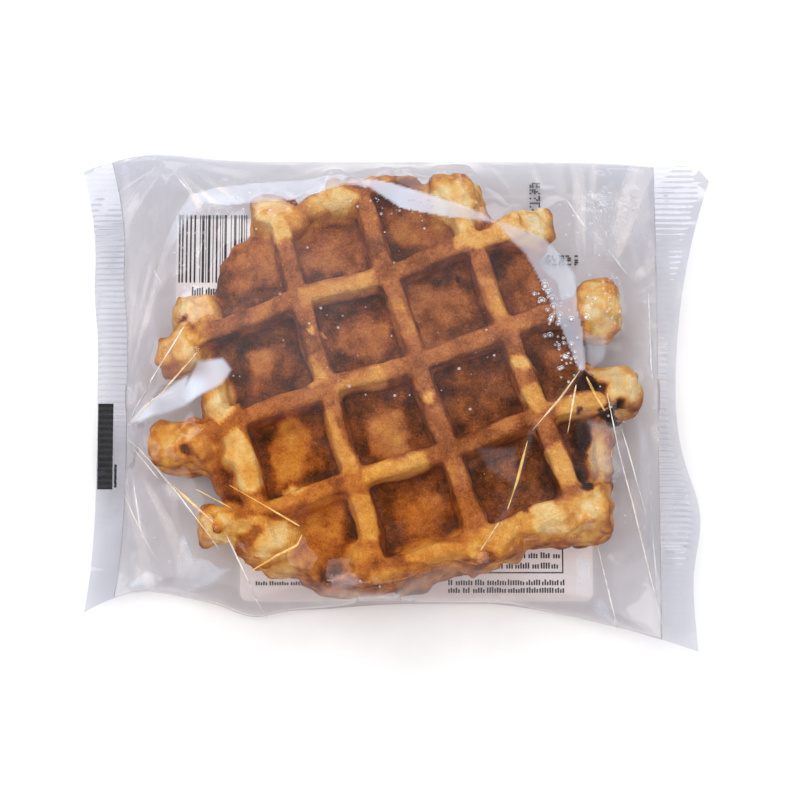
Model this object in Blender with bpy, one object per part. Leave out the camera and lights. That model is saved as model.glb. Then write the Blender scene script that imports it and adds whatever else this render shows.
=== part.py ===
"""Sealed clear film pack holding one grid waffle, lying flat, with two paper stickers on its underside.

Metres, +Z up, +X along the pack from one end seal to the other, origin under the pack's middle at the
lowest plane. The pack is one solid: the film with all that it holds.
"""

import math

import bmesh
import bpy
import numpy as np

MM = 0.001

# Film tube, flattened at both end seals
TUBE_HALF_LENGTH = 75.5 * MM      # centre to the left seal's outer edge at mid width
TUBE_HALF_WIDTH = 60.9 * MM       # centre to the back fold
FRONT_FOLD = -50.6 * MM           # the front fold lies closer in, against the waffle
WAIST_RIGHT = 68.9 * MM           # centre to the right seal's outer edge where it is drawn in
EDGE_HALF_THICKNESS = 0.5 * MM    # folded film at the rim of the pillow

# Crimped end seals
SEAL_LEFT_WIDTH = 7.2 * MM
SEAL_RIGHT_WIDTH = 9.6 * MM
SEAL_RIGHT_MARGIN = 2.4 * MM      # smooth strip outside the right crimp
SEAL_THICKNESS = 0.4 * MM
SEAL_OVERLAP = 1.0 * MM           # how far a seal strip reaches into the pillow
RIDGE_PITCH = 1.5 * MM
RIDGE_HEIGHT = 0.22 * MM
RIDGE_START = 0.6 * MM            # the ridges rise over this distance from the strip's edge
STRIP_SHARE = 0.996               # the strips end this share along the folds, just inside the corners
SEAL_HEIGHT = 8.5 * MM            # the seals stand off the table
FRONT_FOLD_HEIGHT = 3.2 * MM
BACK_FOLD_HEIGHT = 11.0 * MM
SEAL_DROOP = 3.2 * MM             # how much lower a seal lies at its corners
SEAL_WAVE_LEFT = (1.0 * MM, 2.6, 0.7)     # wave of a seal's height: size, rate, phase
SEAL_WAVE_RIGHT = (1.5 * MM, 3.4, -0.5)

# Waves along the edges: size outward, place along the edge from -1 to 1, half width
LEFT_WAVE = (-0.9 * MM, 0.42, 0.16)
RIGHT_WAVE = (3.9 * MM, -0.45, 0.20)
BACK_WAVE = (2.8 * MM, -0.80, 0.22)
FRONT_WAVES = ((2.9 * MM, -0.80, 0.16), (-2.6 * MM, -0.45, 0.09), (-1.5 * MM, -0.28, 0.20))

# Corners: how far an edge runs out towards a corner, and the power that says how late it starts
LEFT_TO_FRONT = (2.8 * MM, 4)
LEFT_TO_BACK = (3.9 * MM, 3)
RIGHT_TO_FRONT = (4.6 * MM, 1.2)
RIGHT_TO_BACK = (11.4 * MM, 2.1)
BACK_TO_LEFT = (-2.2 * MM, 16)
BACK_TO_RIGHT = (0.7 * MM, 4)
FRONT_TO_LEFT = (3.2 * MM, 14)
FRONT_TO_RIGHT = (12.4 * MM, 1.5)
FRONT_FLARE_START = 0.3           # place along the front fold where it starts to run out
CUT_CORNER = 5.0 * MM             # the right seal's back corner is cut off
CUT_START = 0.93                  # place along the seal where the cut begins

# Waffle inside the film
WAFFLE_CENTRE = (0.6 * MM, 3.4 * MM)
WAFFLE_RADII = (56.5 * MM, 47.0 * MM)
RIM_HEIGHT = 22.5 * MM            # film over the waffle's rim
CROWN_HEIGHT = 26.0 * MM          # film over the waffle's middle
CROWN_RISE = 1.35                 # how fast the film rises from the rim to the crown
LEAST_WALL_RUN = 0.08             # least share of the radius over which the film comes down
WALL_BEND = 0.9                   # below 1 the film drops most near the waffle
POCKET_PITCH = 23.7 * MM
POCKET_TURN = math.radians(18.5)
POCKET_SAG = 0.9 * MM             # film dips a little into each pocket

# Underside, from the table up: sticker, gap, film with its long back seam
STICKER_THICKNESS = 0.25 * MM
FILM_CLEARANCE = 0.3 * MM
SEAM_HALF_WIDTH = 5.0 * MM
SEAM_HEIGHT = 0.25 * MM
SEAM_Y = -2.0 * MM
SEAM_SOFTNESS = 1.6               # above 1 the seam's borders fade out over its half width
UNDERSIDE = STICKER_THICKNESS + FILM_CLEARANCE + SEAM_HEIGHT
LIFT_AT_SEAL = 17.0 * MM          # the underside starts to rise this far from a seal
LIFT_AT_FOLD = 6.5 * MM

# Stickers: centre x, centre y, width, depth, corner radius
INFO_STICKER = (4.1 * MM, -19.5 * MM, 88.0 * MM, 60.0 * MM, 2.0 * MM)
BARCODE_STICKER = (-37.0 * MM, 37.0 * MM, 40.0 * MM, 24.0 * MM, 1.5 * MM)
CORNER_SEGMENTS = 5

COLUMNS, ROWS = 34, 30            # grid of each film sheet between the seals
RIM_SAMPLES = 240                 # points that describe the pillow's rim as radius over angle


def wave(at, shape):
    """A rounded swelling of an edge."""
    size, centre, width = shape
    return size * np.exp(-(((at - centre) / width) ** 2))


def run_out(at, shape):
    """How far an edge runs out towards a corner, at from 0 mid-edge to 1 at the corner."""
    size, power = shape
    return size * np.clip(at, 0, 1) ** power


def left_edge(s):
    """X of the left seal's outer edge, s from -1 at the front to 1 at the back."""
    return -TUBE_HALF_LENGTH - run_out(-s, LEFT_TO_FRONT) - run_out(s, LEFT_TO_BACK) + wave(s, LEFT_WAVE)


def right_edge(s):
    """X of the right seal's outer edge: drawn in at the middle, flared at both corners."""
    cut = CUT_CORNER * np.clip((s - CUT_START) / (1 - CUT_START), 0, 1)
    return (WAIST_RIGHT + run_out(s, RIGHT_TO_BACK) + run_out(-s, RIGHT_TO_FRONT)
            + wave(s, RIGHT_WAVE) - cut)


def back_edge(t):
    """Y of the back fold, t from -1 at the left seal to 1 at the right."""
    return TUBE_HALF_WIDTH + wave(t, BACK_WAVE) + run_out(-t, BACK_TO_LEFT) + run_out(t, BACK_TO_RIGHT)


def front_edge(t):
    """Y of the front fold: close to the waffle, running out to the longer right seal."""
    flare = (t - FRONT_FLARE_START) / (1 - FRONT_FLARE_START)
    waves = sum(wave(t, shape) for shape in FRONT_WAVES)
    return FRONT_FOLD + waves - run_out(flare, FRONT_TO_RIGHT) - run_out(-t, FRONT_TO_LEFT)


def plan(t, s):
    """X and Y of a place on the pack given as shares of its length and width."""
    across = (t + 1) / 2
    along = (s + 1) / 2
    return (left_edge(s) * (1 - across) + right_edge(s) * across,
            front_edge(t) * (1 - along) + back_edge(t) * along)


def seal_height(s, side):
    """Height of a seal along its length: it droops towards its corners and waves a little."""
    size, rate, phase = SEAL_WAVE_LEFT if side < 0 else SEAL_WAVE_RIGHT
    return SEAL_HEIGHT - SEAL_DROOP * s ** 2 + size * np.sin(rate * s + phase)


def seal_share(width, side):
    """t at which a seal of this width ends and the pillow starts."""
    return side * (1 - 2 * width / (TUBE_HALF_LENGTH + WAIST_RIGHT))


T_LEFT = seal_share(SEAL_LEFT_WIDTH, -1)
T_RIGHT = seal_share(SEAL_RIGHT_WIDTH, 1)


def rim_height(t, s):
    """Height of the pillow's rim, blended from the four edges into the whole grid."""
    along = (s + 1) / 2
    across = np.clip((t - T_LEFT) / (T_RIGHT - T_LEFT), 0, 1)
    seals = seal_height(s, -1) * (1 - across) + seal_height(s, 1) * across
    folds = FRONT_FOLD_HEIGHT * (1 - along) + BACK_FOLD_HEIGHT * along
    end = np.clip(np.abs(2 * across - 1), 0, 1) ** 5
    return seals * end + folds * (1 - end)


def rim_radius():
    """Angle and radius of the pillow's rim about the waffle, in units of the waffle's own radii."""
    run = np.linspace(-1, 1, RIM_SAMPLES)
    t_run = T_LEFT + (run + 1) / 2 * (T_RIGHT - T_LEFT)
    sides = [plan(t_run, np.full_like(run, -1.0)), plan(t_run, np.full_like(run, 1.0)),
             plan(np.full_like(run, T_LEFT), run), plan(np.full_like(run, T_RIGHT), run)]
    x = (np.concatenate([side[0] for side in sides]) - WAFFLE_CENTRE[0]) / WAFFLE_RADII[0]
    y = (np.concatenate([side[1] for side in sides]) - WAFFLE_CENTRE[1]) / WAFFLE_RADII[1]
    angle = np.arctan2(y, x)
    order = np.argsort(angle)
    return angle[order], np.hypot(x, y)[order]


def smooth(value):
    value = np.clip(value, 0, 1)
    return value * value * (3 - 2 * value)


def sheet_heights(t, s):
    """Heights of the lower and the upper film sheet at grid places between the seals."""
    x, y = plan(t, s)
    u = (x - WAFFLE_CENTRE[0]) / WAFFLE_RADII[0]
    v = (y - WAFFLE_CENTRE[1]) / WAFFLE_RADII[1]
    radius = np.hypot(u, v)
    angles, radii = rim_radius()
    outer = np.interp(np.arctan2(v, u), angles, radii, period=2 * math.pi)
    rim = rim_height(t, s)

    # the upper sheet lies on the waffle and runs taut from its rim to the seals and folds
    reach = np.clip((radius - 1) / np.maximum(outer - 1, LEAST_WALL_RUN), 0, 1)
    crown = RIM_HEIGHT + (CROWN_HEIGHT - RIM_HEIGHT) * smooth(CROWN_RISE * (1 - radius))
    turned_x = (x * math.cos(POCKET_TURN) + y * math.sin(POCKET_TURN)) / POCKET_PITCH
    turned_y = (y * math.cos(POCKET_TURN) - x * math.sin(POCKET_TURN)) / POCKET_PITCH
    dip = np.sin(math.pi * turned_x) ** 2 * np.sin(math.pi * turned_y) ** 2
    upper = np.where(radius < 1, crown - POCKET_SAG * dip * smooth(3 * (1 - radius)),
                     RIM_HEIGHT + (rim - RIM_HEIGHT) * reach ** WALL_BEND)

    # the lower sheet lies flat and lifts only near the seals and folds
    left_end = plan(np.full_like(t, T_LEFT), s)[0]
    right_end = plan(np.full_like(t, T_RIGHT), s)[0]
    seal_gap = np.minimum(x - left_end, right_end - x)
    fold_gap = np.minimum(y - front_edge(t), back_edge(t) - y)
    lift = 1 - smooth(np.minimum(seal_gap / LIFT_AT_SEAL, fold_gap / LIFT_AT_FOLD))
    lower = UNDERSIDE + (rim - UNDERSIDE) * lift
    lower = lower - SEAM_HEIGHT * smooth(SEAM_SOFTNESS - np.abs(y - SEAM_Y) / SEAM_HALF_WIDTH)

    upper = np.maximum(upper, lower + 2 * EDGE_HALF_THICKNESS)
    return lower, upper


def add_object(name, mesh_data, material, collection):
    """Wraps a bmesh in an object with its material and smooth shading."""
    mesh = bpy.data.meshes.new(name)
    mesh_data.to_mesh(mesh)
    mesh_data.free()
    mesh.materials.append(material)
    mesh.shade_smooth()
    mesh.set_sharp_from_angle(angle=math.radians(40))
    placed = bpy.data.objects.new(name, mesh)
    collection.objects.link(placed)
    return placed


def make_material(name, colour, roughness, metallic=0.0, alpha=1.0):
    material = bpy.data.materials.new(name)
    material.use_nodes = True
    shader = material.node_tree.nodes["Principled BSDF"]
    shader.inputs["Base Color"].default_value = (*colour, 1.0)
    shader.inputs["Roughness"].default_value = roughness
    shader.inputs["Metallic"].default_value = metallic
    shader.inputs["Alpha"].default_value = alpha
    return material


def two_sheets(columns, rows, place):
    """Closed body between two grids. place gives x, y, lower z and upper z for t and s from -1 to 1."""
    body = bmesh.new()
    bmesh.ops.create_grid(body, x_segments=columns, y_segments=rows, size=1.0)
    lower = list(body.verts)
    shares = np.array([vert.co[:2] for vert in lower])
    x, y, low, high = place(shares[:, 0], shares[:, 1])
    copied = bmesh.ops.duplicate(body, geom=body.verts[:] + body.edges[:] + body.faces[:])
    upper = [copied["vert_map"][vert] for vert in lower]
    for i, (under, over) in enumerate(zip(lower, upper)):
        under.co = (x[i], y[i], low[i])
        over.co = (x[i], y[i], high[i])
    rims = [edge for edge in body.edges if edge.is_boundary]
    bmesh.ops.bridge_loops(body, edges=rims)
    bmesh.ops.recalc_face_normals(body, faces=body.faces[:])
    return body


def pillow_place(t, s):
    t = T_LEFT + (t + 1) / 2 * (T_RIGHT - T_LEFT)
    x, y = plan(t, s)
    low, high = sheet_heights(t, s)
    on_rim = (np.abs(s) > 0.9999) | (t < T_LEFT + 1e-6) | (t > T_RIGHT - 1e-6)
    middle = rim_height(t, s)
    return (x, y, np.where(on_rim, middle - EDGE_HALF_THICKNESS, low),
            np.where(on_rim, middle + EDGE_HALF_THICKNESS, high))


def seal_place(side):
    """A crimped strip: ridges run along X and are stacked along Y at the crimp's pitch."""
    width = SEAL_LEFT_WIDTH if side < 0 else SEAL_RIGHT_WIDTH
    margin = 0.0 if side < 0 else SEAL_RIGHT_MARGIN
    joint = seal_share(width + SEAL_OVERLAP, side)
    left, right = min(joint, side), max(joint, side)

    def place(across, s):
        inset = STRIP_SHARE * s
        t = left + (across + 1) / 2 * (right - left)
        x, y = plan(t, inset)
        from_edge = np.abs(plan(np.full_like(t, float(side)), inset)[0] - x)
        crimped = smooth((from_edge - margin) / RIDGE_START)
        ridge = RIDGE_HEIGHT * np.sin(2 * math.pi * y / RIDGE_PITCH) * crimped
        middle = seal_height(inset, side) + ridge
        return x, y, middle - SEAL_THICKNESS / 2, middle + SEAL_THICKNESS / 2

    return place


def join(target, other):
    union = target.modifiers.new(other.name, "BOOLEAN")
    union.operation = "UNION"
    union.solver = "EXACT"
    union.object = other
    other.hide_render = True
    other.display_type = "WIRE"


def make_pack(collection, helpers, film):
    pack = add_object("sealed_pack", two_sheets(COLUMNS, ROWS, pillow_place), film, collection)
    ridge_rows = round(2 * TUBE_HALF_WIDTH / RIDGE_PITCH) * 2
    for name, side, columns in (("seal_left_strip", -1, 2), ("seal_right_strip", 1, 4)):
        strip = add_object(name, two_sheets(columns, ridge_rows, seal_place(side)), film, helpers)
        join(pack, strip)
    return pack


def make_sticker(name, sizes, paper, collection):
    """A thin rounded rectangle lying on the table."""
    centre_x, centre_y, width, depth, radius = sizes
    body = bmesh.new()
    bmesh.ops.create_cube(body, size=1.0)
    for vert in body.verts:
        vert.co = (vert.co.x * width, vert.co.y * depth, (vert.co.z + 0.5) * STICKER_THICKNESS)
    upright = [edge for edge in body.edges if edge.verts[0].co.xy == edge.verts[1].co.xy]
    bmesh.ops.bevel(body, geom=upright, offset=radius, segments=CORNER_SEGMENTS, profile=0.5, affect="EDGES")
    sticker = add_object(name, body, paper, collection)
    sticker.location = (centre_x, centre_y, 0.0)
    return sticker


def main():
    for stale in list(bpy.data.objects):
        bpy.data.objects.remove(stale, do_unlink=True)
    pack_parts = bpy.data.collections.new("waffle_pack")
    helpers = bpy.data.collections.new("joining_strips")
    for collection in (pack_parts, helpers):
        bpy.context.scene.collection.children.link(collection)
    film = make_material("clear_polypropylene_film", (0.66, 0.67, 0.74), 0.12, alpha=0.4)
    paper = make_material("sticker_paper", (0.80, 0.78, 0.77), 0.55)
    make_pack(pack_parts, helpers, film)
    make_sticker("info_sticker", INFO_STICKER, paper, pack_parts)
    make_sticker("barcode_sticker", BARCODE_STICKER, paper, pack_parts)


main()
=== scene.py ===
# A grid waffle sealed in clear film, with two paper stickers under the pack.
# Lengths in the dictionaries are millimetres. The world is metres, +Z up.

import math

import bpy
import numpy as np
import openvdb
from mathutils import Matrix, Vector
from mathutils.bvhtree import BVHTree
from mathutils.geometry import delaunay_2d_cdt


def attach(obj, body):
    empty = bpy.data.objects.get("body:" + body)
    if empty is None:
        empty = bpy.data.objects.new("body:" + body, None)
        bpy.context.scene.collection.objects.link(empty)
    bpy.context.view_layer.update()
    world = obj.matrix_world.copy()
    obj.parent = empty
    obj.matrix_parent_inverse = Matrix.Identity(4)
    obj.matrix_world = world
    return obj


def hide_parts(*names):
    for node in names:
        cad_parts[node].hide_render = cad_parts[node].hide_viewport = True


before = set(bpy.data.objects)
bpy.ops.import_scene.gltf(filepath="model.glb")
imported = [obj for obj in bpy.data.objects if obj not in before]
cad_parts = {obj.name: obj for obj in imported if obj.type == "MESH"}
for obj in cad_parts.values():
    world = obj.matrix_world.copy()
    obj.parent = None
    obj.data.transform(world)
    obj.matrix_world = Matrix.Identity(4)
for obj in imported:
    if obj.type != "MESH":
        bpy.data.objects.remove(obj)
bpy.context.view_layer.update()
mm = 0.001


def toLinear(hexColour):
    channels = [int(hexColour[i:i + 2], 16) / 255 for i in (1, 3, 5)]
    linear = [c / 12.92 if c <= 0.04045 else ((c + 0.055) / 1.055) ** 2.4 for c in channels]
    return (*linear, 1.0)


def newMaterial(name):
    material = bpy.data.materials.new(name)
    material.use_nodes = True
    material.node_tree.nodes.clear()
    return material, material.node_tree


def addNode(tree, kind, inputs=None, **settings):
    added = tree.nodes.new(kind)
    for key, value in settings.items():
        setattr(added, key, value)
    for socket, value in (inputs or {}).items():
        if isinstance(value, bpy.types.NodeSocket):
            tree.links.new(value, added.inputs[socket])
        else:
            added.inputs[socket].default_value = value
    return added


def shadeBy(tree, factor, stops):
    # stops: (place, colour) pairs, colours as hex or grey numbers
    ramp = addNode(tree, "ShaderNodeValToRGB", {"Fac": factor})
    elements = ramp.color_ramp.elements
    while len(elements) < len(stops):
        elements.new(0.5)
    for element, (place, colour) in zip(elements, stops):
        element.position = place
        element.color = toLinear(colour) if isinstance(colour, str) else (colour, colour, colour, 1.0)
    return ramp.outputs["Color"]


def calculate(tree, operation, *values, clamp=False):
    node = addNode(tree, "ShaderNodeMath", dict(enumerate(values)), operation=operation, use_clamp=clamp)
    return node.outputs[0]


def spread(tree, value, fromMin, fromMax, toMin, toMax):
    ranges = {"Value": value, "From Min": fromMin, "From Max": fromMax, "To Min": toMin, "To Max": toMax}
    return addNode(tree, "ShaderNodeMapRange", ranges).outputs["Result"]


def mixColours(tree, share, first, second):
    inputs = {"Factor": share, 6: first, 7: second}
    return addNode(tree, "ShaderNodeMix", inputs, data_type="RGBA", blend_type="MIX").outputs[2]


def mixShaders(tree, share, first, second):
    return addNode(tree, "ShaderNodeMixShader", {0: share, 1: first, 2: second}).outputs[0]


def placeIn(tree):
    return addNode(tree, "ShaderNodeNewGeometry").outputs["Position"]


def storedValue(tree, name):
    # what addValues left on the points
    return addNode(tree, "ShaderNodeAttribute", attribute_name=name).outputs["Fac"]


def facingShare(tree):
    # 0 where the surface faces the eye, 1 where it turns edge on
    return addNode(tree, "ShaderNodeLayerWeight", {"Blend": 0.5}).outputs["Facing"]


def cloudsIn(tree, cell, detail, roughness=0.5, distortion=0.0):
    # soft noise whose cells are given in millimetres
    inputs = {"Vector": placeIn(tree), "Scale": 1 / (cell * mm), "Detail": detail,
              "Roughness": roughness, "Distortion": distortion}
    return addNode(tree, "ShaderNodeTexNoise", inputs).outputs["Fac"]


def relief(tree, height, strength, depth, under=None):
    # bumps of a depth in millimetres, over those of the layer under them
    inputs = {"Height": height, "Strength": strength, "Distance": depth * mm}
    if under is not None:
        inputs["Normal"] = under
    return addNode(tree, "ShaderNodeBump", inputs).outputs["Normal"]


def finishWith(tree, surface):
    addNode(tree, "ShaderNodeOutputMaterial", {"Surface": surface})


def addMesh(name, points, faces, material, smooth=True):
    # points in millimetres, faces as lists of corner numbers
    mesh = bpy.data.meshes.new(name)
    mesh.from_pydata((np.asarray(points, float) * mm).tolist(), [], [list(map(int, f)) for f in faces])
    mesh.validate()
    mesh.materials.append(material)
    if smooth:
        mesh.shade_smooth()
    piece = bpy.data.objects.new(name, mesh)
    bpy.context.scene.collection.objects.link(piece)
    return piece


def gridFaces(number):
    # quads between neighbours in a grid of point numbers
    return np.stack([number[:-1, :-1], number[:-1, 1:], number[1:, 1:], number[1:, :-1]], -1).reshape(-1, 4)


def addValues(piece, name, values):
    layer = piece.data.attributes.new(name, "FLOAT", "POINT")
    layer.data.foreach_set("value", np.asarray(values, np.float32))


def smoothStep(value):
    value = np.clip(value, 0, 1)
    return value * value * (3 - 2 * value)


def bump(at, centre, width):
    return np.exp(-(((at - centre) / width) ** 2))


def smoothMin(a, b, blend):
    mix = np.clip(0.5 + 0.5 * (b - a) / blend, 0, 1)
    return b * (1 - mix) + a * mix - blend * mix * (1 - mix)


def smoothMax(a, b, blend):
    return -smoothMin(-a, -b, blend)


latticeSize = (61, 59, 53)      # random values along x, y and z before the noise repeats


def valueNoise(x, y, z, cell, seed):
    # smooth random field from -1 to 1 that changes over one cell
    lattice = np.random.default_rng(seed).uniform(-1, 1, latticeSize).astype(np.float32)
    result = 0
    spots = [np.floor(axis / cell).astype(np.int32) for axis in (x, y, z)]
    shares = [smoothStep(axis / cell - spot) for axis, spot in zip((x, y, z), spots)]
    for i in (0, 1):
        for j in (0, 1):
            for k in (0, 1):
                weight = (shares[0] if i else 1 - shares[0]) * (shares[1] if j else 1 - shares[1])
                weight = weight * (shares[2] if k else 1 - shares[2])
                corner = [(spot + step) % size for spot, step, size in zip(spots, (i, j, k), latticeSize)]
                result = result + weight * lattice[tuple(corner)]
    return result


def nearestOnLine(x, y, line):
    # gap to a line of points, and the share of its length that has been passed
    gaps, shares = [], []
    for k, ((x0, y0), (x1, y1)) in enumerate(zip(line, line[1:])):
        dx, dy = x1 - x0, y1 - y0
        along = np.clip(((x - x0) * dx + (y - y0) * dy) / (dx * dx + dy * dy), 0, 1)
        gaps.append(np.hypot(x - x0 - along * dx, y - y0 - along * dy))
        shares.append((k + along) / (len(line) - 1))
    best = np.argmin(gaps, axis=0)
    return np.min(gaps, axis=0), np.take_along_axis(np.array(shares), best[None], 0)[0]


view = dict(elevation=78.0, distance=750.0, target=(0.0, 0.0, 8.0), lens=135.0)


def placeCamera():
    tilt = math.radians(view["elevation"])
    camera = bpy.data.objects.new("camera", bpy.data.cameras.new("camera"))
    camera.data.lens = view["lens"]
    camera.data.sensor_width = 36.0
    camera.data.clip_start = 0.01
    back = Vector((0, -math.cos(tilt), math.sin(tilt)))
    camera.location = (Vector(view["target"]) + back * view["distance"]) * mm
    camera.rotation_euler = (math.pi / 2 - tilt, 0, 0)
    bpy.context.scene.collection.objects.link(camera)
    bpy.context.scene.camera = camera


studio = dict(
    # name: place, aimed at, width, depth (all mm), watts, colour. The space right above stays
    # dark, so that film lying level stays clear and only its tilted parts shine
    lights={
        "back_softbox": ((-160, 640, 760), (0, 0, 0), 780, 420, 4.2, "#fbfcff"),
        "left_softbox": ((-760, -40, 640), (0, 0, 0), 680, 600, 2.8, "#ffffff"),
        "right_softbox": ((740, 120, 620), (0, 0, 0), 560, 480, 1.6, "#fffcfb"),
        "front_softbox": ((120, -760, 760), (0, 0, 0), 860, 560, 3.6, "#fffcfb"),
        "back_strip": ((-60, 900, 330), (0, 40, 15), 1400, 180, 2.8, "#fbfcff"),
    },
    # broad fill from straight above, kept out of reflections as a polarising sheet would
    fill=((-60, 60, 1100), 900, 6.4),
    worldAbove="#3a3d44", worldMiddle="#a3a3a8", worldRim="#e4e4e7", worldStrength=0.62,
    floorSize=4000.0, floorDrop=0.12)


def placeStudio():
    for name, (place, aim, width, depth, watts, colour) in studio["lights"].items():
        light = bpy.data.lights.new(name, "AREA")
        light.shape = "RECTANGLE"
        light.size, light.size_y = width * mm, depth * mm
        light.energy = watts
        light.color = toLinear(colour)[:3]
        lamp = bpy.data.objects.new(name, light)
        lamp.location = Vector(place) * mm
        lamp.rotation_euler = (Vector(aim) - Vector(place)).to_track_quat("-Z", "Y").to_euler()
        bpy.context.scene.collection.objects.link(lamp)
    place, size, watts = studio["fill"]
    light = bpy.data.lights.new("overhead_fill", "AREA")
    light.size = size * mm
    light.energy = watts
    lamp = bpy.data.objects.new("overhead_fill", light)
    lamp.location = Vector(place) * mm
    lamp.visible_glossy = False
    bpy.context.scene.collection.objects.link(lamp)
    world = bpy.data.worlds.new("soft_studio")
    world.use_nodes = True
    tree = world.node_tree
    direction = addNode(tree, "ShaderNodeTexCoord").outputs["Generated"]
    height = addNode(tree, "ShaderNodeSeparateXYZ", {"Vector": direction}).outputs["Z"]
    shade = shadeBy(tree, height, [(0.0, studio["worldRim"]), (0.35, studio["worldMiddle"]),
                                   (0.85, studio["worldAbove"])])
    background = tree.nodes["Background"]
    tree.links.new(shade, background.inputs["Color"])
    background.inputs["Strength"].default_value = studio["worldStrength"]
    bpy.context.scene.world = world

    paper, tree = newMaterial("matt_white_paper_roll")   # seamless paper: flat white, no gloss
    grain = addNode(tree, "ShaderNodeTexNoise", {"Scale": 300.0, "Detail": 3.0})
    shade = shadeBy(tree, grain.outputs["Fac"], [(0.3, "#f3f3f3"), (0.7, "#f7f7f7")])
    finishWith(tree, addNode(tree, "ShaderNodeBsdfDiffuse", {"Color": shade}).outputs["BSDF"])
    half, drop = studio["floorSize"] / 2, -studio["floorDrop"]
    corners = [(-half, -half, drop), (half, -half, drop), (half, half, drop), (-half, half, drop)]
    floor = addMesh("floor", corners, [(0, 1, 2, 3)], paper, smooth=False)


waffle = dict(
    middle=13.2,            # height of its middle plane
    halfThick=12.1,         # from the middle plane to the rib tops
    floorHalf=4.3,          # from the middle plane to the pocket floors
    centre=(4.4, 6.2),      # where the two middle ribs cross
    turn=18.7, pitch=23.4,  # of the rib grid
    fan=0.0018, wave=1.2,   # how the ribs spread and bow
    ribTop=4.0, wallSlope=0.17,
    floorRounding=3.6, ribRounding=4.5, swell=1.1,
    bodyCentre=(2.0, 2.0),
    # reach of the thin dough between the ribs, by angle round the body
    reach={0: 44, 20: 44, 40: 45, 60: 48, 80: 49, 100: 50, 120: 50, 130: 53, 140: 56, 150: 55,
           160: 53, 170: 51, 180: 49, 200: 53, 220: 55, 240: 51, 260: 48, 280: 46, 300: 46.5,
           320: 52, 340: 53},
    ribReach=2.5,
    # lumps of dough at the rib ends: x, y, z, half sizes along x, y, z, how brown
    lobes=[(-32.0, 44.6, 13.2, 5.6, 4.6, 11.6, 0.15), (-26.0, 42.0, 13.2, 3.6, 3.0, 11.4, 0.24),
           (-21.0, 45.6, 13.2, 4.2, 3.2, 11.4, 0.28), (-15.5, 48.4, 13.2, 5.6, 4.8, 11.8, 0.20),
           (-12.5, 49.6, 10.0, 8.4, 4.6, 7.0, 0.36), (0.0, 49.4, 9.5, 7.5, 4.2, 6.4, 0.38),
           (10.8, 48.4, 13.2, 4.4, 6.0, 11.0, 0.0), (16.5, 48.0, 13.0, 4.2, 6.4, 10.6, 0.04),
           (32.4, 41.8, 12.5, 5.6, 5.8, 9.6, 0.0), (27.0, 40.6, 13.2, 5.0, 4.0, 11.4, 0.28),
           (49.0, 21.0, 12.6, 5.8, 7.2, 9.8, 0.03), (43.0, 19.6, 12.0, 4.6, 3.6, 8.6, 0.22),
           (52.4, 1.2, 12.6, 6.8, 6.2, 9.4, 0.06), (45.4, -4.0, 13.2, 8.0, 2.8, 11.4, 0.28),
           (49.0, -15.5, 11.6, 3.2, 6.8, 9.6, 0.10), (46.2, -29.5, 13.0, 6.0, 7.0, 11.0, 0.18),
           (36.5, -32.8, 13.2, 9.0, 4.4, 11.4, 0.30), (21.0, -38.2, 13.2, 9.0, 4.0, 11.0, 0.30),
           (7.0, -40.6, 11.0, 8.0, 4.2, 9.4, 0.34), (-9.5, -42.0, 13.2, 4.0, 4.6, 11.0, 0.36),
           (-12.0, -45.0, 6.8, 8.4, 4.4, 4.4, 0.50), (1.0, -44.4, 7.0, 9.4, 4.0, 4.4, 0.52),
           (-31.5, -37.0, 13.0, 8.0, 5.4, 10.6, 0.20), (-43.0, -33.0, 12.5, 6.8, 4.8, 9.8, 0.04),
           (-28.5, -41.5, 11.5, 4.8, 3.6, 9.2, 0.14), (-22.2, -41.6, 11.0, 4.2, 4.8, 8.8, 0.48),
           (-52.6, -13.4, 13.2, 8.6, 6.0, 11.0, 0.31), (-44.6, -2.6, 13.2, 3.6, 6.4, 11.2, 0.14),
           (-40.8, -15.6, 13.2, 3.2, 4.4, 11.5, 0.26), (-37.2, -22.0, 13.2, 3.2, 4.4, 11.5, 0.26),
           (-53.5, 9.5, 12.8, 6.4, 5.4, 9.6, 0.18), (-50.6, 19.0, 13.0, 6.0, 6.2, 10.4, 0.22)],
    low=(-67.0, -57.0, -1.0), high=(62.0, 63.0, 27.5), voxel=0.75)      # the block that is meshed


def gridPlaces(x, y):
    # place along and across the rib grid, in millimetres from the middle crossing
    turn = math.radians(waffle["turn"])
    dx, dy = x - waffle["centre"][0], y - waffle["centre"][1]
    along = dx * math.cos(turn) + dy * math.sin(turn)
    across = dy * math.cos(turn) - dx * math.sin(turn)
    bow = waffle["wave"] * np.sin(math.pi * along / (2 * waffle["pitch"])) ** 2
    return along / (1 - waffle["fan"] * across), across - bow


def bodyEdge(x, y):
    # how far a place lies outside the thin dough's edge, negative inside
    dx, dy = x - waffle["bodyCentre"][0], y - waffle["bodyCentre"][1]
    angle = np.degrees(np.arctan2(dy, dx)) % 360
    angles = np.array(sorted(waffle["reach"]), float)
    reaches = np.array([waffle["reach"][int(a)] for a in angles])
    fine = np.arange(0, 360, 2.0)
    rough = np.interp(fine, angles, reaches, period=360)
    soft = sum(np.roll(rough, k) for k in range(-4, 5)) / 9
    return np.hypot(dx, dy) - np.interp(angle, fine, soft, period=360)


def roundedSlab(edge, rise, halfThick, rounding):
    # distance to a slab with a rounded rim
    out = edge + rounding
    up = rise - halfThick + rounding
    return np.hypot(np.maximum(out, 0), np.maximum(up, 0)) + np.minimum(np.maximum(out, up), 0) - rounding


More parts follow.
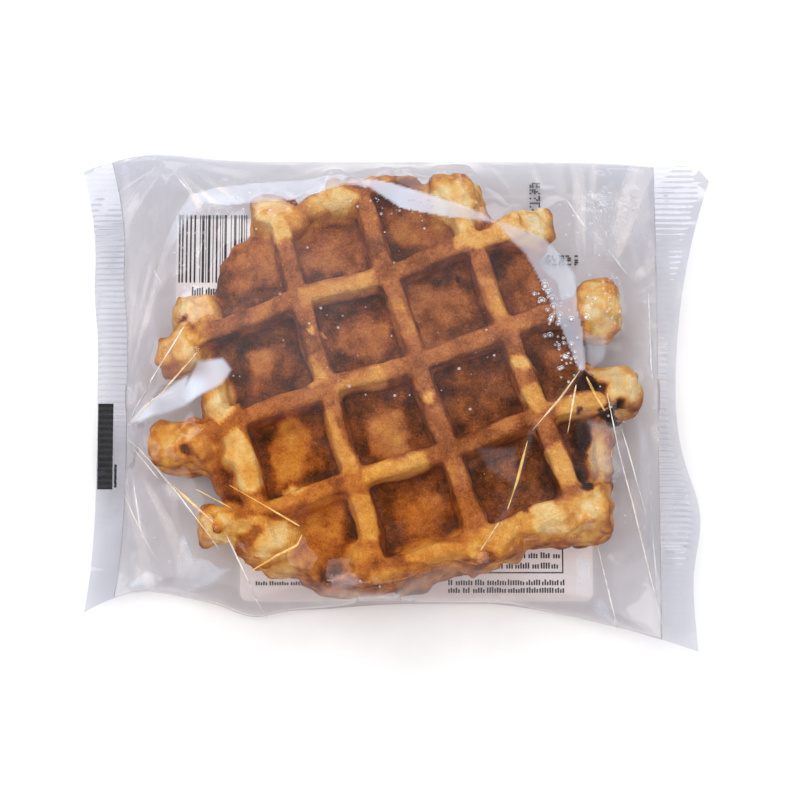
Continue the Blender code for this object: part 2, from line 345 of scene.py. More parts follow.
def doughField(x, y, z):
    # distance to the crust in millimetres, negative inside the dough
    w = waffle
    wobbleX = x + 0.7 * valueNoise(x, y, z, 11.0, 3)
    wobbleY = y + 0.7 * valueNoise(x, y, z, 11.0, 4)
    gx, gy = gridPlaces(wobbleX, wobbleY)
    ribA = np.abs(gy - w["pitch"] * np.round(gy / w["pitch"]))
    ribB = np.abs(gx - w["pitch"] * np.clip(np.round(gx / w["pitch"]), -2, 1))
    # the iron's last grooves ran dry at the back left, so the ribs stop short there
    ribB = ribB + 30 * ((gx < -1.5 * w["pitch"]) & (gy > 4))
    ribA = ribA + 30 * ((gy > 1.5 * w["pitch"]) & (gx < -0.6 * w["pitch"]))
    rise = np.abs(z - w["middle"])
    halfWidth = w["ribTop"] / 2 + (w["halfThick"] - rise) * w["wallSlope"]
    lattice = smoothMin(ribA - halfWidth, ribB - halfWidth, 0.6) / math.hypot(1, w["wallSlope"])
    edge = bodyEdge(wobbleX, wobbleY) + 1.0 * valueNoise(x, y, z, 7.0, 5)
    swell = w["swell"] * (np.sin(math.pi * gx / w["pitch"]) * np.sin(math.pi * gy / w["pitch"])) ** 2
    floor = roundedSlab(edge, rise - swell, w["floorHalf"], w["floorRounding"])
    outline = roundedSlab(edge - w["ribReach"], rise, w["halfThick"], w["ribRounding"])
    ribs = smoothMax(lattice, outline, 0.4)
    dough = smoothMin(floor, ribs, 1.1)
    lumpX = x + 1.3 * valueNoise(x, y, z, 6.5, 9) + 0.6 * valueNoise(x, y, z, 3.2, 10)
    lumpY = y + 1.3 * valueNoise(x, y, z, 6.5, 11) + 0.6 * valueNoise(x, y, z, 3.2, 12)
    for cx, cy, cz, rx, ry, rz, _ in w["lobes"]:
        # blocky lumps: between an ellipsoid and a box
        scaled = (np.abs((lumpX - cx) / rx) ** 3 + np.abs((lumpY - cy) / ry) ** 3
                  + np.abs((z - cz) / rz) ** 3) ** (1 / 3)
        dough = smoothMin(dough, (scaled - 1) * min(rx, ry, rz), 1.5)
    flat = w["halfThick"] - 0.15 * valueNoise(x, y, z, 9.0, 8)
    dough = smoothMax(dough, rise - flat, 1.0)      # both baking plates press the crust flat
    loose = smoothStep((edge + 2.5) / 3)             # free lumps are rougher than what the iron pressed
    dough = dough + 0.34 * valueNoise(x, y, z, 5.0, 6) + (0.20 + 0.42 * loose) * valueNoise(x, y, z, 2.2, 7)
    dough = dough + 0.80 * loose * valueNoise(x, y, z, 4.0, 13)
    return dough


def meshField(field, low, voxel):
    # quads of the zero surface of a sampled field
    grid = openvdb.FloatGrid(8.0)
    grid.copyFromArray(np.ascontiguousarray(field, dtype=np.float32))
    points, quads = grid.convertToQuads(isovalue=0.0)
    points = np.asarray(points) * voxel + low
    quads = np.asarray(quads).reshape(-1, 4)
    a, b, c = points[quads[:, 0]], points[quads[:, 1]], points[quads[:, 2]]
    volume = np.einsum("ij,ij->i", a, np.cross(b, c)).sum()
    return points, quads if volume > 0 else quads[:, ::-1]


def makeWaffle(crust):
    axes = [np.arange(a, b, waffle["voxel"]) for a, b in zip(waffle["low"], waffle["high"])]
    x, y, z = np.meshgrid(*axes, indexing="ij")
    field = doughField(x, y, z)
    points, quads = meshField(field, np.array(waffle["low"]), waffle["voxel"])
    piece = addMesh("waffle", points, quads, crust)
    print("waffle:", len(points), "points,", len(quads), "quads")
    return piece, axes, field


def makeCrust():
    # baked yeast dough: browned where it touched the iron, pale and matt where it swelled free
    crust, tree = newMaterial("baked_yeast_dough")
    place = placeIn(tree)
    # the browning, which also holds the painted shade on the pocket floors beside the ribs
    brown = storedValue(tree, "browningAndShade")
    noises = {}
    # cell in mm, share of the browning, detail, swirl: slow clouds, mottling, fine grain of the crumb
    layers = [("clouds", 7.0, 0.26, 4.0, 0.6), ("mottling", 1.6, 0.30, 5.0, 0.2),
              ("grain", 0.45, 0.34, 3.0, 0.2)]
    for name, cell, share, detail, swirl in layers:
        noises[name] = cloudsIn(tree, cell, detail, 0.6, swirl)
        part = calculate(tree, "MULTIPLY_ADD", noises[name], share, -share / 2)
        brown = calculate(tree, "ADD", brown, part, clamp=True)
    # flakes of loose crust and sugar, paler than what they lie on
    flakes = addNode(tree, "ShaderNodeTexVoronoi", {"Vector": place, "Scale": 1 / (0.9 * mm)})
    flake = spread(tree, flakes.outputs["Distance"], 0.12, 0.26, -0.12, 0.0)
    kept = calculate(tree, "GREATER_THAN", flakes.outputs["Color"], 0.66)
    paler = calculate(tree, "MULTIPLY_ADD", flake, kept, brown, clamp=True)
    shade = mixColours(tree, storedValue(tree, "caramel"), shadeBy(tree, paler, baking["colours"]),
                       shadeBy(tree, paler, baking["caramel"]))
    pores = addNode(tree, "ShaderNodeTexVoronoi", {"Vector": place, "Scale": 1 / (1.0 * mm)})
    grainy = relief(tree, noises["grain"], 0.9, 0.5)
    pitted = relief(tree, pores.outputs["Distance"], 0.4, 0.3, grainy)
    lumpy = relief(tree, noises["mottling"], 0.6, 0.8, pitted)
    sheen = spread(tree, noises["mottling"], 0.3, 0.7, 0.42, 0.7)
    surface = addNode(tree, "ShaderNodeBsdfPrincipled",
                      {"Base Color": shade, "Roughness": sheen, "IOR": 1.45, "Specular IOR Level": 0.2,
                       "Normal": lumpy})
    finishWith(tree, surface.outputs["BSDF"])
    return crust


baking = dict(
    # from cream through gold and terracotta to burnt
    colours=[(0.0, "#ffeebf"), (0.15, "#fbd58c"), (0.30, "#f2b45a"), (0.44, "#d99248"), (0.56, "#c27640"),
             (0.68, "#985424"), (0.80, "#6a3813"), (0.91, "#402209"), (1.0, "#1a0c06")],
    # the same where fat and sugar caramelised: deeper and more golden
    caramel=[(0.0, "#ffebb8"), (0.15, "#fbd080"), (0.30, "#f2ad48"), (0.44, "#dc8c30"), (0.56, "#c66f22"),
             (0.68, "#9c5010"), (0.80, "#6a3408"), (0.91, "#402205"), (1.0, "#1a0c04")],
    # the pocket floors' value next to the ribs is painted shade: the rib walls shade them there
    rib=0.60, wall=0.66, floor=0.66, floorBesideRibShade=0.77, freeEdge=0.42,
    # stretches of rib that browned less: x, y to x, y, half width, how brown
    pale=[(-47.0, 28, -44.0, 17, 2.8, 0.42), (-24.5, 22, -6.5, 26.8, 2.2, 0.42),
          (-2.8, 22.5, 4.6, 9.5, 2.1, 0.49), (-23.6, 6, -19.4, 0.6, 2.2, 0.41),
          (-16, -1.4, -3.5, 2.8, 2.3, 0.41), (-46, -3, -42.5, -8, 3.0, 0.18),
          (-42.5, -12.5, -34.6, -25, 3.6, 0.23), (-36, -30.5, -23.5, -26, 2.4, 0.46),
          (-19.2, -6, -11.8, -21.5, 2.0, 0.41), (-9, -23.3, 6.4, -18.3, 2.5, 0.36),
          (-10.5, -27, -8, -38.5, 3.0, 0.34), (1, -41, 19.5, -41, 2.4, 0.38),
          (-43, -37.5, -27.5, -37.5, 4.5, 0.28), (31.5, -0.5, 35.6, -6, 2.3, 0.35),
          (38, -6.3, 50.5, -3.4, 2.4, 0.32), (37.6, -15, 41, -25, 2.3, 0.33),
          (23, -36.4, 44, -31.8, 3.8, 0.36), (-34.5, 46.5, -30, 36.5, 3.8, 0.24),
          (-18.5, 49.5, -12, 45, 3.4, 0.28), (11, 51.5, 17, 39.5, 3.8, 0.22),
          (13.5, 36.4, 27.5, 39.5, 2.4, 0.33), (22, 26.8, 25.4, 17.5, 1.9, 0.45),
          (25, 41, 36, 40.5, 4.0, 0.22)],
    # stretches of rib made darker
    dark=[(-24.2, 19, -21.2, 8.0, 2.3, 0.68), (6.0, 2, 10.6, -10, 2.3, 0.65),
          (-2.2, -26, 1.2, -34, 2.3, 0.62)],
    # tones of the pocket floors: x, y, half sizes, how brown
    patches=[(-26.5, -15, 4.0, 8.4, 0.46), (-3, -11.5, 4.2, 5.8, 0.53), (-8.5, 13.5, 6.4, 4.6, 0.58),
              (-34, 7.5, 3.0, 2.8, 0.56), (-43.5, 13.5, 3.4, 3.8, 0.80), (8, 15.5, 3.6, 6.0, 0.62),
              (20.5, 0.5, 6.0, 5.6, 0.72), (33.5, -15.5, 5.0, 4.0, 0.80), (16.5, 10.5, 3.0, 3.0, 0.70),
              (5.5, -29.5, 5.4, 6.8, 0.65), (26.5, -25.5, 7.4, 5.0, 0.74), (6, 22, 4.6, 5.2, 0.62),
              (6, 41.5, 9.0, 4.6, 0.56), (-18.5, 35.5, 9.0, 6.2, 0.60), (-17.5, 16, 1.8, 2.2, 0.84),
              (36, -20.5, 2.0, 5.6, 0.80), (-36, 33, 4.5, 7.0, 0.60), (32.5, 22, 4.0, 8.0, 0.66),
              (-21, -31.5, 7.0, 7.0, 0.52), (37.5, 0.0, 3.0, 4.0, 0.78), (44.0, -17.0, 1.6, 8.5, 0.87)],
    # burnt specks and pearls of sugar: x, y, size, how brown
    specks=[(52.5, -5.9, 2.2, 0.98), (44.6, -24.5, 1.7, 0.98), (14.2, 28.4, 0.7, 0.97),
            (44.6, -13.0, 2.0, 0.93), (46.5, 1.4, 3.2, 0.93), (-53.5, 17.0, 1.2, 0.72),
            (-52.5, -15.8, 1.2, 0.8), (-57.0, 3.5, 2.6, 0.55), (29.3, 5.2, 2.0, 0.24),
            (6.2, -2.0, 1.4, 0.26), (-25.6, -26.3, 1.6, 0.25), (55.5, 0.5, 3.6, 0.12),
            (-20.2, 14.5, 0.8, 0.30), (32.0, -29.5, 1.2, 0.75), (36.0, -33.0, 3.0, 0.17),
            (24.0, -36.5, 3.2, 0.32), (-36.5, -38.5, 2.2, 0.64), (45.0, -9.5, 1.6, 0.93),
            (44.2, -17.0, 1.5, 0.87), (44.4, -21.5, 1.8, 0.94), (44.4, -24.5, 1.4, 0.95)])


def paintBake(piece):
    # how brown the crust is, 0 pale to 1 burnt, with painted shade added on the pocket floors beside the
    # ribs
    mesh = piece.data
    count = len(mesh.vertices)
    points = np.empty(count * 3)
    normals = np.empty(count * 3)
    mesh.vertices.foreach_get("co", points)
    mesh.vertex_normals.foreach_get("vector", normals)
    x, y, z = points.reshape(-1, 3).T / mm
    up = np.abs(normals.reshape(-1, 3)[:, 2])
    w = waffle
    # ragged outlines: every patch is read at a slightly shifted place
    rx = x + 2.0 * valueNoise(x, y, z, 5.0, 24) + 0.8 * valueNoise(x, y, z, 1.8, 25)
    ry = y + 2.0 * valueNoise(x, y, z, 5.0, 26) + 0.8 * valueNoise(x, y, z, 1.8, 27)
    gx, gy = gridPlaces(x, y)
    rise = np.abs(z - w["middle"])
    top = smoothStep((rise - w["halfThick"] + 1.8) / 1.0)
    floor = smoothStep((w["floorHalf"] + 2.6 - rise) / 1.4)
    fromRib = np.minimum(np.abs(gy - w["pitch"] * np.round(gy / w["pitch"])),
                         np.abs(gx - w["pitch"] * np.round(gx / w["pitch"])))
    # painted shade: the pocket floors turn darker close to the ribs, where the rib walls shade them
    margin = smoothStep((7.4 + 1.5 * valueNoise(x, y, z, 6.0, 28) - fromRib) / 1.6)
    browningAndShade = baking["wall"] + 0.10 * valueNoise(x, y, z, 4.0, 29)
    bottom = baking["floor"] * (1 - margin) + baking["floorBesideRibShade"] * margin
    browningAndShade = browningAndShade * (1 - floor) + floor * bottom
    for cx, cy, sx, sy, brown in baking["patches"]:
        near = smoothStep((1.4 - 0.5 * np.maximum(np.abs(rx - cx) / sx, np.abs(ry - cy) / sy)
                           - 0.6 * np.hypot((rx - cx) / sx, (ry - cy) / sy)) / 0.5)
        browningAndShade = browningAndShade + (brown - browningAndShade) * near * (z > 13) * (1 - top)
    browningAndShade = browningAndShade * (1 - top) + top * (baking["rib"] + 0.06 * valueNoise(x, y, z, 5.0, 21))
    outside = smoothStep((bodyEdge(x, y) + 1.5) / 2.5)
    browningAndShade = browningAndShade + (baking["freeEdge"] - browningAndShade) * 0.7 * outside
    for x0, y0, x1, y1, half, brown in baking["pale"] + baking["dark"]:
        length = math.hypot(x1 - x0, y1 - y0)
        dx, dy = (x1 - x0) / length, (y1 - y0) / length
        px, py = 0.35 * rx + 0.65 * x - x0, 0.35 * ry + 0.65 * y - y0
        along, off = px * dx + py * dy, np.abs(py * dx - px * dy)
        near = smoothStep((half + 0.3 - off) / 0.6) * smoothStep((z - 19) / 3)
        near = near * smoothStep((along + 0.5) / 1.0) * smoothStep((length - along + 0.5) / 1.0)
        browningAndShade = browningAndShade + (brown - browningAndShade) * near
    for cx, cy, cz, sx, sy, sz, brown in w["lobes"]:
        scaled = np.sqrt(((x - cx) / sx) ** 2 + ((y - cy) / sy) ** 2 + ((z - cz) / sz) ** 2)
        near = smoothStep((1.4 - scaled) / 0.4)
        browningAndShade = browningAndShade + (brown - browningAndShade) * near * 0.8
    # the iron browns the sides of free lumps in bands, and the underside all over
    browningAndShade = browningAndShade + 0.13 * (1 - up) * outside + 0.10 * valueNoise(x, y, z, 3.0, 23)
    browningAndShade = browningAndShade + outside * (0.15 * valueNoise(x, y, z, 1.6, 30) + 0.12 * valueNoise(x, y, z, 4.2, 38))
    browningAndShade = browningAndShade + 0.14 * smoothStep((7.0 - z) / 6.0)
    for cx, cy, size, brown in baking["specks"]:
        near = smoothStep((1.4 - np.hypot(rx - cx, ry - cy) / size) / 0.5)
        browningAndShade = browningAndShade + (brown - browningAndShade) * near * (z > 9)
    addValues(piece, "browningAndShade", np.clip(browningAndShade, 0, 1))
    # the front left of the iron ran hotter
    addValues(piece, "caramel", smoothStep((-6 - y - 0.5 * x + 6 * valueNoise(x, y, z, 6.0, 40)) / 26))


film = dict(
    halfLength=75.5, halfWidth=60.9, frontFold=-50.6, waistRight=68.9,
    halfDepth=56.0,         # from the middle to the front and back folds, for the slopes there
    sealLeft=7.2,           # width of the left crimped strip
    sealLine=64.6, narrowest=4.2, rightMargin=2.0,   # the right one starts on a straight line
    freeLength=127.0,       # from seal to seal
    sealHeight=8.5, frontHeight=3.2, backHeight=11.0,
    columns=300, rows=256, cell=0.47,                # grid of the film, and its mesh size
    firstRounds=160, lastRounds=240,                 # how long the taut film settles
    clearance=0.22,         # from the crust to the film
    underside=0.8, seamY=-2.0, seamHalf=5.0, seamHeight=0.25,
    puffBack=0.03, puffFront=0.02, sag=0.0006,        # curvature of the free film, 1/mm
    restHeight=10.0,        # the film rests on crust that is higher than this
    sealCurl=17.0, foldCurl=6.5,            # how far in the lower sheet curls up to its rim
    highest=26.4,
    facetSize=6.4, facetHeight=1.0, smallSize=3.1, smallHeight=0.28,   # two sizes of crumple
    pleatSize=2.8, pleatStretch=8.0, pleatsFrom=46.0,
    tiltTint="#efeef0", steepTint="#e0dee0")


def leftEdge(s):
    # x of the left seal's outer edge, s from -1 at the front to 1 at the back
    return (-film["halfLength"] - 2.8 * np.clip(-s, 0, 1) ** 4 - 5.2 * np.clip(s, 0, 1) ** 3
            - 0.9 * bump(s, 0.42, 0.16))


def rightEdge(s):
    # the same for the right seal: a waist near the middle, a bulge in front, a cut back corner
    return (film["waistRight"] + 11.4 * np.clip(s, 0, 1) ** 2.1 + 4.6 * np.clip(-s, 0, 1) ** 1.2
            + 3.9 * bump(s, -0.45, 0.20) - 5.0 * np.clip((s - 0.93) / 0.07, 0, 1))


def backEdge(t):
    # y of the back fold, t from -1 at the left seal to 1 at the right
    return (film["halfWidth"] + 2.8 * bump(t, -0.80, 0.22) - 2.2 * np.clip(-t, 0, 1) ** 16
            + 0.7 * np.clip(t, 0, 1) ** 4)


def frontEdge(t):
    # the same for the front fold, which flares to the right
    flare = np.clip((t - 0.3) / 0.7, 0, 1)
    return (film["frontFold"] + 2.9 * bump(t, -0.80, 0.16) - 2.6 * bump(t, -0.45, 0.09)
            - 1.5 * bump(t, -0.28, 0.20)
            - 12.4 * flare ** 1.5 - 3.2 * np.clip(-t, 0, 1) ** 14)


def packPlan(t, s):
    # x and y of a place given as shares of the pack's length and width
    across, along = (t + 1) / 2, (s + 1) / 2
    return (leftEdge(s) * (1 - across) + rightEdge(s) * across,
            frontEdge(t) * (1 - along) + backEdge(t) * along)


def sealHeight(s, side):
    # the seals stand off the table in a slow wave
    wave = 1.0 * np.sin(2.6 * s + 0.7) if side < 0 else 1.5 * np.sin(3.4 * s - 0.5)
    return film["sealHeight"] - 3.2 * s ** 2 + wave


def sealStart(s, side):
    # where along the pack a seal begins, from -1 at the left edge to 1 at the right
    left, right = leftEdge(s), rightEdge(s)
    straight = np.minimum(film["sealLine"], right - film["narrowest"])
    line = left + film["sealLeft"] if side < 0 else straight
    return 2 * (line - left) / (right - left) - 1


def rimHeight(across, s):
    # height of the pack's rim, across from 0 at the left seal to 1 at the right
    along = (s + 1) / 2
    seals = sealHeight(s, -1) * (1 - across) + sealHeight(s, 1) * across
    folds = film["frontHeight"] * (1 - along) + film["backHeight"] * along
    end = np.clip(np.abs(2 * across - 1), 0, 1) ** 5
    return seals * end + folds * (1 - end)


def crustTop(field, axes):
    # height of the crust's upper side over each column of the sampled field, 0 where there is none
    inside = field[:, :, ::-1] < 0
    last = field.shape[2] - 1 - np.argmax(inside, axis=2)
    i, j = np.indices(last.shape)
    below = field[i, j, last]
    above = field[i, j, np.minimum(last + 1, field.shape[2] - 1)]
    height = axes[2][last] + waffle["voxel"] * below / (below - above - 1e-9)
    height = np.where(inside.any(axis=2), height, 0.0)
    wide = height.copy()
    reach = range(-3, 4)
    for di, dj in [(i, j) for i in reach for j in reach if i * i + j * j <= 10]:
        wide = np.maximum(wide, np.roll(height, (di, dj), (0, 1)))
    return wide


def sampleMap(heights, axes, x, y):
    # heights between the columns of the sampled field
    u = np.clip((x - axes[0][0]) / waffle["voxel"], 0, heights.shape[0] - 1.001)
    v = np.clip((y - axes[1][0]) / waffle["voxel"], 0, heights.shape[1] - 1.001)
    i, j = u.astype(int), v.astype(int)
    a, b = u - i, v - j
    return ((heights[i, j] * (1 - a) + heights[i + 1, j] * a) * (1 - b)
            + (heights[i, j + 1] * (1 - a) + heights[i + 1, j + 1] * a) * b)


def resample(values, rows, columns):
    rowsAt = np.linspace(0, values.shape[0] - 1, rows)
    columnsAt = np.linspace(0, values.shape[1] - 1, columns)
    first = np.array([np.interp(columnsAt, np.arange(values.shape[1]), row) for row in values])
    return np.array([np.interp(rowsAt, np.arange(values.shape[0]), column) for column in first.T]).T


def drape(rim, support, push, rounds):
    # taut film: held at its rim, resting on the support, pushed outward by the air inside
    high = None
    for step in (8, 4, 2, 1):
        rows, columns = (rim.shape[0] - 1) // step + 1, (rim.shape[1] - 1) // step + 1
        edge, floor, air = (resample(values, rows, columns) for values in (rim, support, push * step ** 2))
        high = np.maximum(edge, floor) if high is None else resample(high, rows, columns)
        high[[0, -1], :], high[:, [0, -1]] = edge[[0, -1], :], edge[:, [0, -1]]
        for _ in range(rounds):
            middle = (high[:-2, 1:-1] + high[2:, 1:-1] + high[1:-1, :-2] + high[1:-1, 2:]) / 4
            high[1:-1, 1:-1] = np.maximum(middle + air[1:-1, 1:-1], floor[1:-1, 1:-1])
    return high


def crumple(x, y, size, seed, stretch=1.0):
    # flat facets between random points, -1 to 1, longer along y where stretch is above 1
    rng = np.random.default_rng(seed)
    us = np.arange(-90, 90, size)
    vs = np.arange(-75, 75, size * stretch)
    u, v = (axis.ravel() + rng.uniform(-0.45, 0.45, us.size * vs.size) * scale
            for axis, scale in zip(np.meshgrid(us, vs), (size, size * stretch)))
    heights = rng.uniform(-1, 1, u.size)
    spots = [Vector(pair) for pair in zip(u, v)]
    flat, _, triangles, origins, *_ = delaunay_2d_cdt(spots, [], [], 0, 1e-5)
    corners = [(p.x, p.y, heights[origin[0]]) for p, origin in zip(flat, origins)]
    return rayHeights(x, y, corners, triangles)[0]


def flatten(x, y, heights, keep, size, lift, seed):
    # redraw a sheet as flat triangles between scattered points, with edges along the taut folds
    rng = np.random.default_rng(seed)
    us, vs = np.meshgrid(np.arange(-84, 86, size), np.arange(-70, 70, size * 1.2))
    spots, edges, lifts = [], [], []
    for (x0, y0, _), (x1, y1, _) in creases["ridges"]:
        edges.append((len(spots), len(spots) + 1))
        spots += [(x0, y0), (x1, y1)]
        lifts += [0.0, 0.0]
    for a, b in zip(us.ravel() + rng.uniform(-0.42, 0.42, us.size) * size,
                    vs.ravel() + rng.uniform(-0.42, 0.42, us.size) * size * 1.2):
        shift = rng.uniform(-lift, lift)
        if all(math.hypot(a - c, b - d) > 0.4 * size for c, d in spots):
            spots.append((a, b))
            lifts.append(shift)
    flat, _, triangles, origins, *_ = delaunay_2d_cdt([Vector(p) for p in spots], edges, [], 0, 1e-5)
    corners = [(p.x, p.y, nearestValue(x, y, heights, p.x, p.y) + (lifts[origin[0]] if origin else 0.0))
               for p, origin in zip(flat, origins)]
    return heights * (1 - keep) + rayHeights(x, y, corners, triangles)[0] * keep


def rayHeights(x, y, corners, faces):
    # height of a faceted sheet over each place, and which face was met (-1 for none)
    tree = BVHTree.FromPolygons(corners, faces)
    hits = [tree.ray_cast(Vector((a, b, 90.0)), Vector((0, 0, -1))) for a, b in zip(x.ravel(), y.ravel())]
    heights = np.array([hit[0].z if hit[0] else 0.0 for hit in hits]).reshape(x.shape)
    met = np.array([hit[2] if hit[0] else -1 for hit in hits]).reshape(x.shape)
    return heights, met


creases = dict(
    # taut straight folds that hold the film up: x, y, lift at each end
    ridges=[((-68.6, -8.0, 0.3), (-52.9, 14.5, 2.2)), ((-68.4, -9.0, 0.3), (-49.6, 8.1, 1.6)),
            ((-68.4, -11.0, 0.2), (-56.5, -26.0, 2.6)), ((-56.5, -26.0, 2.6), (-44.0, -42.5, 2.4)),
            ((-66.0, -20.0, 1.8), (-63.5, -35.8, 2.4)), ((-63.5, -35.8, 2.4), (-57.0, -47.0, 0.3)),
            ((-66.0, 54.0, 0.2), (-52.6, 50.9, 2.5)), ((-57.0, 57.5, 0.2), (-52.6, 50.9, 2.5)),
            ((41.8, 48.1, 1.6), (46.5, 40.3, 1.4)),
            ((46.5, 40.3, 1.4), (57.5, 44.0, 1.2)), ((51.5, 35.6, 2.2), (58.1, 27.3, 1.6)),
            ((46.5, 40.3, 1.4), (51.5, 35.6, 2.0)), ((44.5, 3.8, 0.8), (51.0, -1.5, 2.0)),
            ((51.0, -1.5, 1.4), (53.0, -14.6, 1.4)), ((53.0, -14.6, 1.4), (59.5, -38.0, 2.2)),
            ((59.5, -38.0, 2.6), (65.5, -60.0, 0.3)), ((62.0, 30.0, 0.8), (62.5, -12.0, 2.2)),
            ((62.5, -12.0, 2.2), (64.5, -36.0, 0.8)), ((46.0, -33.0, 1.0), (53.8, -57.0, 0.8)),
            ((-40.0, -42.0, 1.2), (-33.0, -54.0, 0.4)), ((19.4, -41.0, 0.8), (31.0, -54.0, 1.0)),
            ((-41.4, -24.9, 0.7), (-24.2, -35.0, 0.8)), ((-23.7, -37.0, 0.8), (-36.2, -45.4, 1.4)),
            ((-55.6, -24.1, 1.4), (-44.9, -34.3, 1.2)), ((-49.7, -25.6, 1.4), (-40.8, -30.6, 0.8)),
            ((44.2, 3.8, 0.9), (39.1, -3.4, 0.9)), ((39.1, -3.4, 0.9), (32.2, -11.4, 1.0)),
            ((32.2, -11.4, 1.0), (28.4, -24.0, 1.1)), ((28.4, -24.0, 1.1), (19.4, -41.0, 0.8))],
    roofSlope=0.55)


facets = dict(
    # flat panes of taut film: corners x, y, z, and how strong its painted reflection is, a pale veil that
    # stands for the light the pane reflects
    shoulder=[((-60.4, 31.5, 16.5), (-59.8, 31.2, 16.8)), ((-58.9, 37.7, 17.2), (-56.7, 36.3, 18.4)),
              ((-56.0, 45.1, 17.8), (-53.3, 42.8, 19.6)), ((-52.5, 50.3, 18.3), (-48.6, 46.9, 21.4)),
              ((-46.3, 52.1, 18.6), (-43.5, 46.6, 22.0)), ((-37.5, 52.9, 19.2), (-36.3, 46.6, 23.2)),
              ((-25.0, 53.1, 19.8), (-24.8, 47.4, 23.4)), ((-13.7, 53.5, 20.6), (-13.6, 50.8, 25.0)),
              ((-7.5, 52.6, 21.6), (-7.5, 50.0, 25.2)), ((0.0, 51.0, 22.6), (0.0, 45.0, 25.6)),
              ((6.0, 49.0, 23.0), (6.0, 43.6, 25.6)), ((12.5, 46.8, 23.6), (12.4, 42.5, 25.6)),
              ((17.4, 44.9, 24.2), (17.3, 42.0, 25.6)), ((24.0, 41.6, 25.2), (23.9, 40.6, 25.6)),
              ((35.5, 37.8, 22.2), (31.1, 32.9, 25.5)), ((41.4, 31.3, 20.6), (34.0, 27.4, 25.4)),
              ((43.2, 28.2, 20.0), (35.2, 25.0, 25.4)), ((43.4, 20.2, 20.4), (38.1, 18.2, 25.3)),
              ((44.9, 13.6, 21.6), (40.7, 11.6, 25.2)), ((45.4, 4.0, 24.0), (43.9, 3.4, 24.8))],
    # painted reflection along the shoulder: the pale arc stands for a softbox reflected in its curve
    shoulderGlare=[0.10, 0.2, 0.30, 0.42, 0.44, 0.38, 0.36, 0.42, 0.54, 0.66, 0.60, 0.44, 0.36, 0.3,
                  0.34, 0.36, 0.38, 0.38, 0.38, 0.40],
    panes=[([(-49.5, 6.0, 20.4), (-43.5, 6.5, 23.0), (-41.0, 4.0, 24.2), (-43.5, 0.0, 23.0),
             (-47.5, -2.0, 21.0), (-52.5, -4.5, 18.6), (-54.0, -2.0, 17.8), (-51.5, 2.0, 19.2)], 0.62),
           ([(-69.0, -7.4, 7.6), (-58.0, -6.6, 14.6), (-52.5, -4.9, 18.2), (-52.0, 2.7, 18.8),
             (-60.0, -1.6, 14.0)], 0.58),
           ([(-53.0, -36.0, 0.0), (-50.5, -41.5, 0.0), (-41.0, -44.5, 0.0), (-46.0, -47.0, 0.0),
             (-53.0, -48.0, 0.0), (-56.0, -46.5, 0.0), (-55.0, -40.5, 0.0)], 0.40),
           ([(-63.5, -43.0, 0.0), (-58.5, -45.0, 0.0), (-62.0, -47.5, 0.0), (-68.0, -47.0, 0.0),
             (-65.0, -45.0, 0.0)], 0.34),
           ([(43.0, -41.5, 0.0), (46.5, -42.5, 0.0), (47.0, -49.0, 0.0), (43.5, -50.5, 0.0)], 0.24),
           ([(48.5, -50.0, 0.0), (51.0, -51.5, 0.0), (52.5, -56.0, 0.0), (47.5, -53.0, 0.0)], 0.24),
           ([(43.0, -4.5, 25.2), (46.5, -4.0, 25.0), (46.5, -26.5, 25.0), (43.5, -27.0, 25.2)], 0.02),
           ([(46.0, -9.0, 25.0), (52.0, -10.0, 23.0), (56.0, -14.0, 21.0), (55.0, -20.0, 21.2),
             (50.5, -23.5, 23.4), (46.4, -22.5, 25.0)], 0.12),
           ([(45.5, 13.0, 0.0), (51.0, 13.0, 0.0), (49.5, 6.5, 0.0), (46.5, 3.0, 0.0)], 0.20),
           ([(18.5, -15.5, 0.0), (28.5, -15.5, 0.0), (28.0, -24.5, 0.0), (21.0, -21.0, 0.0)], 0.04),
           ([(-36.0, 17.0, 25.4), (-46.0, 19.0, 24.9), (-48.0, 28.0, 24.5), (-44.0, 36.0, 24.6),
             (-38.0, 38.0, 25.0), (-35.0, 30.0, 25.4)], 0.03),
           ([(-17.0, -46.5, 0.0), (-16.5, -49.5, 0.0), (-9.0, -49.0, 0.0), (-11.0, -46.8, 0.0)], 0.16),
           ([(58.5, -8.0, 0.0), (61.5, -10.0, 0.0), (62.0, -38.0, 0.0), (60.5, -40.0, 0.0)], 0.18),
           ([(46.5, 51.5, 0.0), (60.5, 52.5, 0.0), (61.5, 29.0, 0.0), (56.0, 30.0, 0.0),
             (44.0, 43.0, 0.0)], 0.14),
           ([(-62.5, 50.0, 0.0), (-58.0, 40.0, 0.0), (-61.0, 26.0, 0.0), (-65.0, 36.0, 0.0)], 0.08),
           ([(-66.5, 20.0, 0.0), (-61.0, 24.0, 0.0), (-60.0, 12.0, 0.0), (-65.5, 4.0, 0.0)], 0.10)],
    # creases that spread from a gathered place, shown as pale streaks of painted reflection: x, y, how far
    # they show
    fans=[(-71.0, -6.0, 46.0), (46.0, 14.0, 62.0), (-58.0, 62.0, 26.0)],
    fanGlare=0.25, fanContrast=1.9,
    # breath of grease on the film: x, y, half sizes, how strong; and of the film clear of the crust
    haze=[(-4.0, 26.0, 50.0, 30.0, 0.022), (-28.0, 20.0, 24.0, 22.0, 0.040)], free=0.03,
    # soft ridge where the film is pulled over the crust, drawn as a pale streak of painted highlight:
    # points, half width, how strong
    pulled=[(44.5, 4.0), (39.0, -3.5), (32.0, -11.5), (28.5, -24.0), (26.0, -31.0), (19.5, -41.0)],
    pulledHalf=0.7, pulledGlare=0.14)


